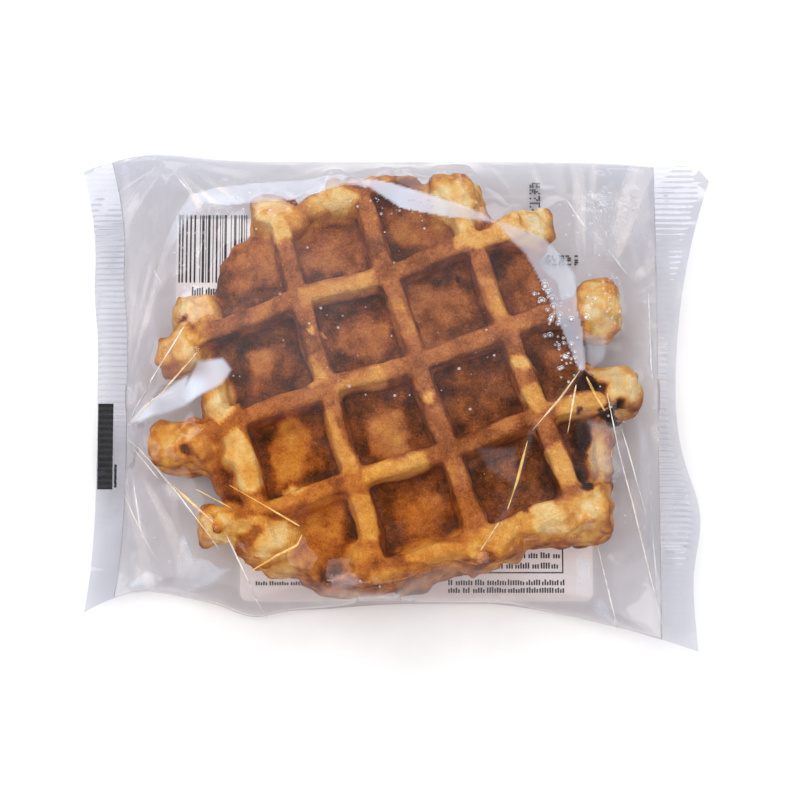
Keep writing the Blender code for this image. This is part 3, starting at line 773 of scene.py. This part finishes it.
def facetSheet(x, y):
    # heights of the flat panes and their painted reflection; the shoulder is a strip of them round the back
    strip = [corner for pair in facets["shoulder"] for corner in pair]
    quads = [(k, k + 1, k + 3, k + 2) for k in range(0, len(strip) - 2, 2)]
    heights, met = rayHeights(x, y, strip, quads)
    values = [value for value in facets["shoulderGlare"] for _ in (0, 1)]
    hazeAndGlare = rayHeights(x, y, [(a, b, m) for (a, b, _), m in zip(strip, values)], quads)[0]
    outline = strip[0::2] + strip[1::2][::-1]
    hazeAndGlare = hazeAndGlare * softInside(x, y, met >= 0, outline)
    for points, value in facets["panes"]:
        face = [tuple(range(len(points)))]
        pane, met = rayHeights(x, y, points, face)
        heights = np.maximum(heights, pane)
        uneven = 0.85 + 0.45 * valueNoise(x, y, 0 * x, 4.5, 37)
        hazeAndGlare = np.maximum(hazeAndGlare, value * uneven * softInside(x, y, met >= 0, points))
    return heights, hazeAndGlare


def fanStreaks(x, y):
    # soft pale streaks of painted reflection along the creases that spread from the gathered places
    streaks = 0 * x
    for k, (cx, cy, reach) in enumerate(facets["fans"]):
        away = np.hypot(x - cx, y - cy)
        angle = np.degrees(np.arctan2(y - cy, x - cx)) + 400
        noise = (0.6 * valueNoise(angle, away / 5, 0 * x, 6.0, 70 + k)
                 + 0.5 * valueNoise(angle, away / 9, 0 * x, 2.2, 80 + k))
        shown = smoothStep(away / 10) * smoothStep((reach - away) / 14)
        streaks = np.maximum(streaks, np.clip(noise * facets["fanContrast"], 0, 1) * shown)
    return streaks


def softInside(x, y, inside, outline):
    # 1 inside an outline, falling to 0 across its border so that the edge stays straight
    closed = [(p[0], p[1]) for p in outline + outline[:1]]
    gap, _ = nearestOnLine(x, y, closed)
    ragged = 0.5 * valueNoise(x, y, 0 * x, 4.0, 36)
    return smoothStep(0.5 + (np.where(inside, gap, -gap) + ragged) / 1.3)


def ridgeRoofs(x, y, natural):
    # a narrow roof under every taut fold, for the film to hang over
    roofs = 0 * x
    for (x0, y0, lift0), (x1, y1, lift1) in creases["ridges"]:
        z0, z1 = (nearestValue(x, y, natural, a, b) for a, b in ((x0, y0), (x1, y1)))
        gap, share = nearestOnLine(x, y, [(x0, y0), (x1, y1)])
        roof = z0 + lift0 + (z1 + lift1 - z0 - lift0) * share - gap * creases["roofSlope"]
        roofs = np.maximum(roofs, np.where(gap < 2.5, roof, 0.0))
    return roofs


def nearestValue(x, y, values, atX, atY):
    return values.ravel()[np.argmin((x - atX) ** 2 + (y - atY) ** 2)]


def soften(values, times):
    for _ in range(times):
        middle = (values[:-2, 1:-1] + values[2:, 1:-1] + values[1:-1, :-2] + values[1:-1, 2:]) / 8
        values[1:-1, 1:-1] = middle + values[1:-1, 1:-1] / 2
    return values


def filmSheets(top):
    # grids of x, y, lower and upper height between the seals
    across, s = np.meshgrid(np.linspace(0, 1, film["columns"] + 1), np.linspace(-1, 1, film["rows"] + 1))
    t = sealStart(s, -1) * (1 - across) + sealStart(s, 1) * across
    x, y = packPlan(t, s)
    rim = rimHeight(across, s)
    support = sampleMap(top, waffleAxes, x, y)
    rest = support > film["restHeight"]
    back = (s + 1) / 2
    air = np.where(rest, -film["sag"], film["puffFront"] + (film["puffBack"] - film["puffFront"]) * back)
    air = soften(air, 20) * film["cell"] ** 2 / 4
    floor = np.where(rest, support + film["clearance"], 0.0)
    natural = drape(rim, floor, air, film["firstRounds"])
    panes, hazeAndGlare = facetSheet(x, y)
    held = np.maximum(np.maximum(floor, panes), ridgeRoofs(x, y, natural))
    held[[0, -1], :], held[:, [0, -1]] = rim[[0, -1], :], rim[:, [0, -1]]
    upper = drape(rim, held, air, film["lastRounds"])
    sealGap = np.minimum(across, 1 - across) * film["freeLength"]
    foldGap = (1 - np.abs(s)) * film["halfDepth"]
    rimGap = np.minimum(sealGap, foldGap)
    overCrust = smoothStep(4.5 * soften(rest * 1.0, 90))
    free = (1 - 0.97 * overCrust) * smoothStep(rimGap / 2.5)
    # long pleats beside the right seal
    pleats = crumple(x, y, film["pleatSize"], 33, film["pleatStretch"])
    pleats = pleats * smoothStep((x - film["pleatsFrom"]) / 8)
    loose = free * (1 - (panes > 0))
    upper = flatten(x, y, upper + 0.5 * pleats, loose, film["facetSize"], film["facetHeight"], 31)
    upper = flatten(x, y, upper, 0.6 * loose, film["smallSize"], film["smallHeight"], 32)
    upper = smoothMin(upper, film["highest"], 0.8)
    upper[1:-1, 1:-1] = np.maximum(upper, floor)[1:-1, 1:-1]
    touch = rest * smoothStep(1 - (upper - floor) / 0.7)
    # painted reflection: pale streaks along the fan creases and the pulled ridge
    creaseGlare = fanStreaks(x, y) * (1 - overCrust)
    gap, _ = nearestOnLine(x, y, facets["pulled"])
    creaseGlare = np.maximum(creaseGlare, facets["pulledGlare"] * smoothStep(1.5 - gap / facets["pulledHalf"]))
    hazeAndGlare = np.maximum(hazeAndGlare, facets["free"] * (1 - overCrust))
    for cx, cy, sx, sy, value in facets["haze"]:
        hazeAndGlare = np.maximum(hazeAndGlare, value * smoothStep(1.5 - np.hypot((x - cx) / sx, (y - cy) / sy)))
    # the film doubled back at the fold is greyer
    fold = 1 - smoothStep((1 - s) * film["halfDepth"] / 12)

    # the lower sheet lies flat and curls up to the seals and folds
    lift = 1 - smoothStep(np.minimum(sealGap / film["sealCurl"], foldGap / film["foldCurl"]))
    lower = film["underside"] + (rim - film["underside"]) * lift
    lower = lower - film["seamHeight"] * smoothStep(1.6 - np.abs(y - film["seamY"]) / film["seamHalf"])
    lower = lower + 0.35 * lift * (1 - lift) * 4 * crumple(x, y, 8.0, 34)
    lower = np.maximum(lower, 0.5)
    upper = np.maximum(upper, lower + 0.05)
    for sheet in (lower, upper):
        sheet[[0, -1], :], sheet[:, [0, -1]] = rim[[0, -1], :], rim[:, [0, -1]]
    return x, y, lower, upper, {"hazeAndGlare": hazeAndGlare, "touch": touch, "creaseGlare": creaseGlare, "fold": fold}


def makeFilm(clear, top):
    x, y, lower, upper, values = filmSheets(top)
    rows, columns = x.shape
    number = np.arange(rows * columns).reshape(rows, columns)
    under = number + rows * columns
    onRim = np.zeros(x.shape, bool)
    onRim[[0, -1], :] = onRim[:, [0, -1]] = True
    under[onRim] = number[onRim]                      # both sheets meet at the folds and seals
    points = np.concatenate([np.stack([x, y, upper], -1).reshape(-1, 3),
                             np.stack([x, y, lower], -1).reshape(-1, 3)])
    faces = np.concatenate([gridFaces(number), gridFaces(under)[:, [0, 3, 2, 1]]])
    used = np.unique(faces)
    renumber = np.zeros(len(points), int)
    renumber[used] = np.arange(len(used))
    piece = addMesh("film_wrap", points[used], renumber[faces], clear)
    for name, value in values.items():
        below = value if name == "fold" else 0 * value
        addValues(piece, name, np.concatenate([value.ravel(), below.ravel()])[used])
    return piece


crimps = dict(
    columns=20, rows=640, pitch=1.5, height=0.20, fade=0.92,
    deepest={-1: 0.25, 1: -0.20}, deepHalf=0.3,        # where along each seal the jaws bit deepest
    overlap=0.0014,         # of a seal over the film, as a share of half the pack's length
    wave=0.35, waveSize=6.0)


def crimpRidge(y, height):
    return height * np.sin(2 * math.pi * y / crimps["pitch"])


def makeSeal(name, side, clear):
    # a crimped strip: both sheets fused, with ridges along X stacked along Y
    margin = 0.0 if side < 0 else film["rightMargin"]
    share, s = np.meshgrid(np.linspace(0, 1, crimps["columns"]), np.linspace(-1, 1, crimps["rows"]))
    inner = sealStart(s, side) - crimps["overlap"] * side
    t = inner + (side - inner) * share
    x, y = packPlan(t, s)
    fromEdge = np.abs(packPlan(np.full_like(t, float(side)), s)[0] - x)
    fromDeepest = np.abs(s - crimps["deepest"][side]) - crimps["deepHalf"]
    crimped = smoothStep((fromEdge - margin) / 0.5) * (1 - crimps["fade"] * smoothStep(fromDeepest / 0.25))
    ridge = crimpRidge(y, crimps["height"]) * crimped
    wavy = crimps["wave"] * crumple(x, y, crimps["waveSize"], 41 + side) * smoothStep(1.4 * share)
    height = sealHeight(s, side) + ridge + wavy
    rows, columns = x.shape
    number = np.arange(rows * columns).reshape(rows, columns)
    return addMesh(name, np.stack([x, y, height], -1).reshape(-1, 3), gridFaces(number), clear)


def makeFilmMaterial(name, tint, tilted, steepest, haze, layers):
    # cast polypropylene: clear and glossy, faintly milky where it is greasy, touched or fused; its pale
    # panes and streaks are painted reflection, a diffuse veil that stands for light it reflects
    clear, tree = newMaterial(name)
    facing = facingShare(tree)
    steep = calculate(tree, "POWER", facing, 5.0)
    mirror = calculate(tree, "MULTIPLY_ADD", steep, 0.9, 0.032 * layers, clamp=True)
    grease = spread(tree, cloudsIn(tree, 11, 4.0, 0.62), 0.48, 0.66, haze * 0.3, haze * 2.6)
    creaseGlare = storedValue(tree, "creaseGlare")
    pressed = calculate(tree, "MULTIPLY_ADD", storedValue(tree, "touch"), 0.006, grease)
    creaseGlareAdded = calculate(tree, "MULTIPLY_ADD", creaseGlare, facets["fanGlare"], pressed)
    hazeAndGlareShare = calculate(tree, "ADD", creaseGlareAdded, storedValue(tree, "hazeAndGlare"), clamp=True)
    # a tilted part is seen through more film, which greys it a little
    depth = shadeBy(tree, facing, [(0.0, tint), (0.14, tilted), (0.6, steepest)])
    doubled = mixColours(tree, storedValue(tree, "fold"), depth, toLinear("#e4e5ea"))
    through = addNode(tree, "ShaderNodeBsdfTransparent", {"Color": doubled})
    # the veil's colour is painted reflection: bluish where it stands for the softboxes' light, warmer along
    # the crease streaks
    tone = shadeBy(tree, creaseGlare, [(0.0, "#e0e6f4"), (0.5, "#f3ebe9")])
    hazeAndGlareVeil = addNode(tree, "ShaderNodeBsdfDiffuse", {"Color": tone})
    gloss = addNode(tree, "ShaderNodeBsdfGlossy", {"Color": toLinear("#ffffff"), "Roughness": 0.06})
    mixed = mixShaders(tree, hazeAndGlareShare, through.outputs[0], hazeAndGlareVeil.outputs[0])
    finishWith(tree, mixShaders(tree, mirror, mixed, gloss.outputs[0]))
    return clear


def makePaper():
    # coated label paper: smooth, faintly warm, with fibres showing as soft clouds. It glows a little,
    # painted light that keeps it brighter than the film over it where the waffle shades it
    paper, tree = newMaterial("coated_label_paper_glowing")
    fibres = cloudsIn(tree, 1.4, 5.0, 0.7)
    shade = shadeBy(tree, fibres, [(0.3, "#fbf7f4"), (0.7, "#fffdfb")])
    surface = addNode(tree, "ShaderNodeBsdfPrincipled",
                      {"Base Color": shade, "Roughness": 0.5, "Emission Color": toLinear("#fff1ea"),
                       "Emission Strength": 0.25, "Normal": relief(tree, fibres, 0.15, 0.05)})
    finishWith(tree, surface.outputs["BSDF"])
    return paper


def makeInk(name, dark, light):
    # thermal print: matt, slightly uneven black
    ink, tree = newMaterial(name)
    shade = shadeBy(tree, cloudsIn(tree, 0.6, 3.0, 0.6), [(0.45, dark), (0.75, light)])
    surface = addNode(tree, "ShaderNodeBsdfPrincipled", {"Base Color": shade, "Roughness": 0.6})
    finishWith(tree, surface.outputs["BSDF"])
    return ink


labelPrint = dict(
    barTop=50.0, barBottom=32.2, barLeft=-56.5, barRight=-20.0,
    figures=(-53.0, -20.0), figureDrop=3.4, figureHeight=2.4,          # the row under the bars
    # ruled box of the large sticker: left, right, top, bottom; line width
    box=(-33.5, 40.8, 6.0, -42.6), rule=0.35,
    rowPitch=2.6, rowHeight=1.6,
    footRows=(-45.6, -47.5), footSpan=(12.0, 41.0), footHeight=1.5,
    address=(-36.0, -19.5), addressHeight=1.1,
    dash=0.42, dashPitch=0.62, wordGap=0.7,
    heights=(0.30, -0.02))  # on the paper and under it


def wordRow(random, left, right, y, height, density=0.8):
    # one row of short dashes that stand for words
    marks, x = [], left
    while x < right:
        word = random.uniform(1.2, 5.0)
        if random.uniform() < density:
            for letter in np.arange(x, min(x + word, right), labelPrint["dashPitch"]):
                tall = height * random.uniform(0.6, 1.0)
                marks.append((letter, y, letter + labelPrint["dash"], y + tall))
        x += word + labelPrint["wordGap"]
    return marks


def labelMarks():
    random = np.random.default_rng(51)
    p = labelPrint
    left, right, top, bottom = p["box"]
    marks = [(left, bottom, right, bottom + p["rule"]), (left, top, right, top + p["rule"]),
             (left, bottom, left + p["rule"], top), (right - p["rule"], bottom, right, top)]
    y = bottom + 1.2
    while y < top - 3:
        marks += wordRow(random, left + 1.0, right - 1.2, y, p["rowHeight"])
        y += p["rowPitch"]
    marks += wordRow(random, *p["address"], p["footRows"][0], p["addressHeight"], 1.0)
    for y in p["footRows"]:
        marks += wordRow(random, *p["footSpan"], y, p["footHeight"], 1.0)
    marks += wordRow(random, *p["figures"], p["barBottom"] - p["figureDrop"], p["figureHeight"], 1.0)
    x = p["barLeft"]
    while x < p["barRight"]:
        wide = random.choice([0.22, 0.22, 0.44, 0.62])
        marks.append((x, p["barBottom"], x + wide, p["barTop"]))
        x += wide + random.choice([0.34, 0.34, 0.6, 1.0])
    return marks


datePrint = dict(
    # rows of figures made of dots: x from and to, y from and to, whether it runs up the pack
    rows=[(33.2, 36.0, 48.4, 58.4, True), (37.0, 44.4, 36.6, 39.4, False)],
    dot=0.44, columnPitch=0.46, dotPitch=0.56, figurePitch=1.75, inked=0.55,
    lift=-0.06)             # from the film that carries them


def dateMarks():
    # two short ink-jet rows on the back of the pack
    random = np.random.default_rng(53)
    d = datePrint
    marks = []
    for left, right, low, high, upright in d["rows"]:
        place, end = (low, high) if upright else (left, right)
        while place < end:
            for step in range(5):
                for column in range(3):
                    if random.uniform() < d["inked"]:
                        along, over = place + column * d["columnPitch"], step * d["dotPitch"]
                        x, y = (left + over, along) if upright else (along, low + over)
                        marks.append((x, y, x + d["dot"], y + d["dot"]))
            place += d["figurePitch"]
    return marks


def makePrint(name, marks, heights, ink):
    # flat marks at one or more heights; those under the paper face down
    points, faces = [], []
    for height in heights:
        for x0, y0, x1, y1 in marks:
            first = len(points)
            points += [(x0, y0, height), (x1, y0, height), (x1, y1, height), (x0, y1, height)]
            corners = (first, first + 1, first + 2, first + 3)
            faces.append(corners if height > 0 else corners[::-1])
    return addMesh(name, points, faces, ink, smooth=False)


registerMark = dict(
    # blocks on the left seal: x from and to, y from and to
    blocks=[(-75.3, -71.5, -22.6, -1.2), (-71.1, -70.5, -22.2, -16.4)],
    ridge=0.22, lift=0.10)


def makeRegisterMark(ink):
    # printed block on the left seal that the packing machine reads
    points, faces = [], []
    for x0, x1, y0, y1 in registerMark["blocks"]:
        us, vs = np.meshgrid(np.linspace(x0, x1, 8), np.linspace(y0, y1, 90))
        ss = (vs - frontEdge(-1.0)) / (backEdge(-1.0) - frontEdge(-1.0)) * 2 - 1
        us = np.maximum(us, leftEdge(ss) + 0.15)
        zs = sealHeight(ss, -1) + crimpRidge(vs, registerMark["ridge"]) + registerMark["lift"]
        first = len(points)
        number = np.arange(us.size).reshape(us.shape) + first
        points += np.stack([us, vs, zs], -1).reshape(-1, 3).tolist()
        faces += gridFaces(number).tolist()
    return addMesh("register_mark", points, faces, ink)


lines = dict(
    # bright fold lines: points, warmth (light picked up from the crust)
    width=0.13, warmWidth=0.30, step=0.7, lift=0.05, sides=6,
    drawn=[([(-67.8, -7.0), (-60.5, 3.6), (-52.9, 14.5)], 0.3),
           ([(-66.0, -7.0), (-57.0, 0.5), (-49.6, 8.1)], 0.7),
           ([(-66.0, -13.6), (-59.0, -22.5)], 0.2), ([(-66.0, -20.0), (-63.5, -35.8)], 0.0),
           ([(-57.0, 57.5), (-53.0, 51.5)], 0.0), ([(-61.5, 31.5), (-58.4, 25.6)], 0.0),
           ([(41.8, 48.1), (46.5, 40.3)], 0.0), ([(51.5, 35.6), (54.6, 31.6), (58.1, 27.3)], 0.0),
           ([(50.5, -2.0), (53.0, -14.6), (59.5, -38.0), (65.0, -58.0)], 0.25),
           ([(48.0, -39.0), (53.8, -57.0)], 0.1), ([(-36.5, -49.0), (-33.0, -54.0)], 0.0),
           ([(62.0, 26.0), (62.4, 2.0)], 0.0), ([(-41.4, -24.9), (-33.0, -29.8), (-24.2, -35.0)], 1.0),
           ([(-23.7, -37.0), (-24.8, -39.4), (-36.2, -45.4)], 1.0), ([(-55.6, -24.1), (-44.9, -34.3)], 0.9),
           ([(-49.7, -25.6), (-40.8, -30.6)], 1.0), ([(44.2, 3.8), (39.1, -3.4), (32.2, -11.4)], 0.8),
           ([(31.0, -14.0), (28.4, -24.0), (26.0, -31.0)], 1.0), ([(24.0, -34.0), (19.4, -41.0)], 0.9),
           ([(45.5, 2.0), (47.8, -3.0), (50.0, -6.5)], 1.0), ([(43.0, 0.0), (40.8, -12.0)], 0.7),
           ([(54.0, -10.5), (60.5, -30.0)], 0.1), ([(61.5, -22.0), (63.0, -45.5)], 0.0),
           ([(-68.5, -9.5), (-62.0, -17.0), (-54.0, -26.5), (-44.0, -40.0)], 0.3),
           ([(-69.0, -23.0), (-65.5, -30.5), (-60.5, -40.0)], 0.3), ([(-42.0, -37.0), (-34.5, -52.0)], 0.2)])


def dropRay(tree, x, y):
    # where a ray straight down meets the film, and how the film faces there
    return tree.ray_cast(Vector((x, y, 60.0)), Vector((0, 0, -1)))[:2]


def filmTree(piece):
    points = [tuple(v.co / mm) for v in piece.data.vertices]
    return BVHTree.FromPolygons(points, [tuple(p.vertices) for p in piece.data.polygons])


def makeFoldLines(tree, white):
    points, faces, warmths = [], [], []
    random = np.random.default_rng(61)
    for line, warm in lines["drawn"]:
        length = sum(math.dist(a, b) for a, b in zip(line, line[1:]))
        count = max(6, int(length / lines["step"]))
        places = np.linspace(0, len(line) - 1, count)
        swells = random.uniform(0.3, 1.5, (count + 11) // 6)
        swell = np.interp(np.arange(count), np.arange(0, count + 6, 6), swells)
        xs = np.interp(places, range(len(line)), [p[0] for p in line])
        ys = np.interp(places, range(len(line)), [p[1] for p in line])
        hits = [dropRay(tree, a, b)[0] for a, b in zip(xs, ys)]
        zs = [hit.z if hit else 0.0 for hit in hits]
        width = lines["width"] + (lines["warmWidth"] - lines["width"]) * warm
        rings = []
        for k, (px, py, pz) in enumerate(zip(xs, ys, zs)):
            ahead = min(k + 1, count - 1)
            behind = max(k - 1, 0)
            dx, dy = xs[ahead] - xs[behind], ys[ahead] - ys[behind]
            size = math.hypot(dx, dy)
            nx, ny = -dy / size, dx / size
            taper = 0.2 + 0.8 * abs(math.sin(math.pi * k / (count - 1))) ** 0.5
            thick = width * swell[k] * taper
            ring = []
            for corner in range(lines["sides"]):
                turn = math.radians(360 / lines["sides"] * corner)
                side, rise = math.cos(turn) * thick, math.sin(turn) * thick
                ring.append(len(points))
                points.append((px + nx * side, py + ny * side, pz + rise + lines["lift"]))
                warmths.append(warm)
            rings.append(ring)
        for first, second in zip(rings, rings[1:]):
            faces += list(zip(first, first[1:] + first[:1], second[1:] + second[:1], second))
        faces += [rings[0][::-1], rings[-1]]
    piece = addMesh("fold_lines", points, faces, white)
    addValues(piece, "warmth", warmths)
    return piece


def makeFoldMaterial():
    # a sharp fold: partly stress-whitened film, partly painted highlight, a pale diffuse that stands for the
    # light it catches, warm where it stands for light reflected from the crust
    white, tree = newMaterial("fold_whitening_and_glint")
    tone = shadeBy(tree, storedValue(tree, "warmth"), [(0.0, "#fbfcff"), (0.5, "#fff0d8"), (1.0, "#ffcf7a")])
    share = spread(tree, cloudsIn(tree, 3.0, 3.0), 0.35, 0.62, 0.32, 0.9)
    through = addNode(tree, "ShaderNodeBsdfTransparent", {"Color": toLinear("#ffffff")})
    surface = addNode(tree, "ShaderNodeBsdfPrincipled", {"Base Color": tone, "Roughness": 0.2, "IOR": 1.5})
    finishWith(tree, mixShaders(tree, share, through.outputs[0], surface.outputs[0]))
    return white


drops = dict(
    # patches of drops: centre x, y, spread x, y, turn, how many, smallest and largest radius
    patches=[(38.5, 18.0, 3.6, 13.0, 22, 46, 0.35, 0.95), (40.5, 7.0, 3.0, 6.0, 20, 22, 0.3, 0.8),
             (54.0, 48.0, 9.0, 6.5, 0, 420, 0.12, 0.30), (50.0, 44.0, 14.0, 9.0, 0, 160, 0.14, 0.34),
             (-38.0, 47.0, 16.0, 7.0, 0, 34, 0.15, 0.42), (-52.0, 36.0, 6.0, 10.0, 0, 26, 0.15, 0.5),
             (0.0, 46.0, 22.0, 5.0, -6, 46, 0.15, 0.45), (50.0, 22.0, 5.0, 8.0, 0, 34, 0.15, 0.5),
             (0.0, 5.0, 38.0, 30.0, 0, 70, 0.12, 0.45), (57.0, -22.0, 8.0, 22.0, 10, 34, 0.12, 0.36),
             (-57.0, -40.0, 8.0, 7.0, 0, 16, 0.15, 0.4), (-20.0, -50.0, 24.0, 3.5, 0, 34, 0.12, 0.35),
             (-64.0, 40.0, 6.0, 16.0, 0, 26, 0.12, 0.32)],
    dome=0.62,              # height of a drop, as a share of its radius
    tilts=(90, 55, 25))     # its rings, from the rim up


def makeDrops(tree, wet):
    random = np.random.default_rng(77)
    points, faces = [], []
    for cx, cy, sx, sy, turn, count, small, large in drops["patches"]:
        turn = math.radians(turn)
        for _ in range(count):
            u, v = random.normal(0, 0.5, 2) * (sx, sy)
            x = cx + u * math.cos(turn) - v * math.sin(turn)
            y = cy + u * math.sin(turn) + v * math.cos(turn)
            radius = small + (large - small) * random.uniform() ** 2
            hit, normal = dropRay(tree, x, y)
            if hit is None or normal.z < 0.3:
                continue
            side = normal.orthogonal().normalized()
            other = normal.cross(side)
            sides = 12 if radius > 0.3 else 8
            first = len(points)
            for tilt in drops["tilts"]:
                out = radius * math.sin(math.radians(tilt))
                rise = drops["dome"] * radius * math.cos(math.radians(tilt))
                for k in range(sides):
                    a = 2 * math.pi * k / sides
                    points.append(hit + side * out * math.cos(a) + other * out * math.sin(a) + normal * rise)
            points.append(hit + normal * drops["dome"] * radius)
            for ring in (0, 1):
                for k in range(sides):
                    low, lowNext = first + ring * sides + k, first + ring * sides + (k + 1) % sides
                    faces.append((low, lowNext, lowNext + sides, low + sides))
            for k in range(sides):
                faces.append((first + 2 * sides + k, first + 2 * sides + (k + 1) % sides, first + 3 * sides))
    return addMesh("moisture_drops", [tuple(p) for p in points], faces, wet)


def makeWet():
    # condensed moisture and fat: clear in the middle, with a painted highlight at the rim, a white diffuse
    # ring that stands for the light the drop bends
    wet, tree = newMaterial("condensed_moisture")
    rim = shadeBy(tree, facingShare(tree),
                  [(0.04, 0.55), (0.12, 0.10), (0.34, 0.08), (0.55, 0.95), (0.8, 0.5)])
    share = calculate(tree, "MULTIPLY", rim, cloudsIn(tree, 5.0, 2.0))
    strong = calculate(tree, "MULTIPLY", share, 2.1, clamp=True)
    through = addNode(tree, "ShaderNodeBsdfTransparent", {"Color": toLinear("#f4f5f8")})
    bright = addNode(tree, "ShaderNodeBsdfPrincipled",
                     {"Base Color": toLinear("#f7f8fc"), "Roughness": 0.1, "IOR": 1.4})
    finishWith(tree, mixShaders(tree, strong, through.outputs[0], bright.outputs[0]))
    return wet


placeCamera()
placeStudio()
bpy.context.scene.view_settings.view_transform = "Standard"
crust = makeCrust()
wafflePiece, waffleAxes, waffleField = makeWaffle(crust)
paintBake(wafflePiece)
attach(wafflePiece, "root")
print("built the waffle")

clear = makeFilmMaterial("cast_polypropylene_film", "#fafafb", film["tiltTint"], film["steepTint"], 0.005, 1)
# the two seals are one fused film in two copies: the darker left one is painted shade, the lighter right one
# painted light, for how each faces the lamps
fused = {-1: makeFilmMaterial("crimped_polypropylene_shaded_left", "#e1e2e8", "#cbccd5", "#b9bcc6", 0.05, 2),
         1: makeFilmMaterial("crimped_polypropylene_lit_right", "#eaebf0", "#d6d7df", "#c2c4cd", 0.05, 2)}
filmPiece = makeFilm(clear, crustTop(waffleField, waffleAxes))
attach(filmPiece, "root")
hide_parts("sealed_pack")
for name, side in (("left_seal", -1), ("right_seal", 1)):
    seal = makeSeal(name, side, fused[side])
    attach(seal, "root")
print("wrapped it in film")

paper = makePaper()
for node in ("info_sticker", "barcode_sticker"):
    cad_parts[node].data.materials[0] = paper
ink = makeInk("black_thermal_print", "#161618", "#2c2c30")
printed = makePrint("sticker_print", labelMarks(), labelPrint["heights"], ink)
dated = makePrint("date_marks", dateMarks(), [film["underside"] + datePrint["lift"]], ink)
register = makeRegisterMark(ink)
for piece in (printed, dated, register):
    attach(piece, "root")
print("printed the stickers")

surfaceTree = filmTree(filmPiece)
foldLines = makeFoldLines(surfaceTree, makeFoldMaterial())
dropPiece = makeDrops(surfaceTree, makeWet())
for piece in (foldLines, dropPiece):
    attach(piece, "root")
print("drops:", len(dropPiece.data.polygons), "faces")
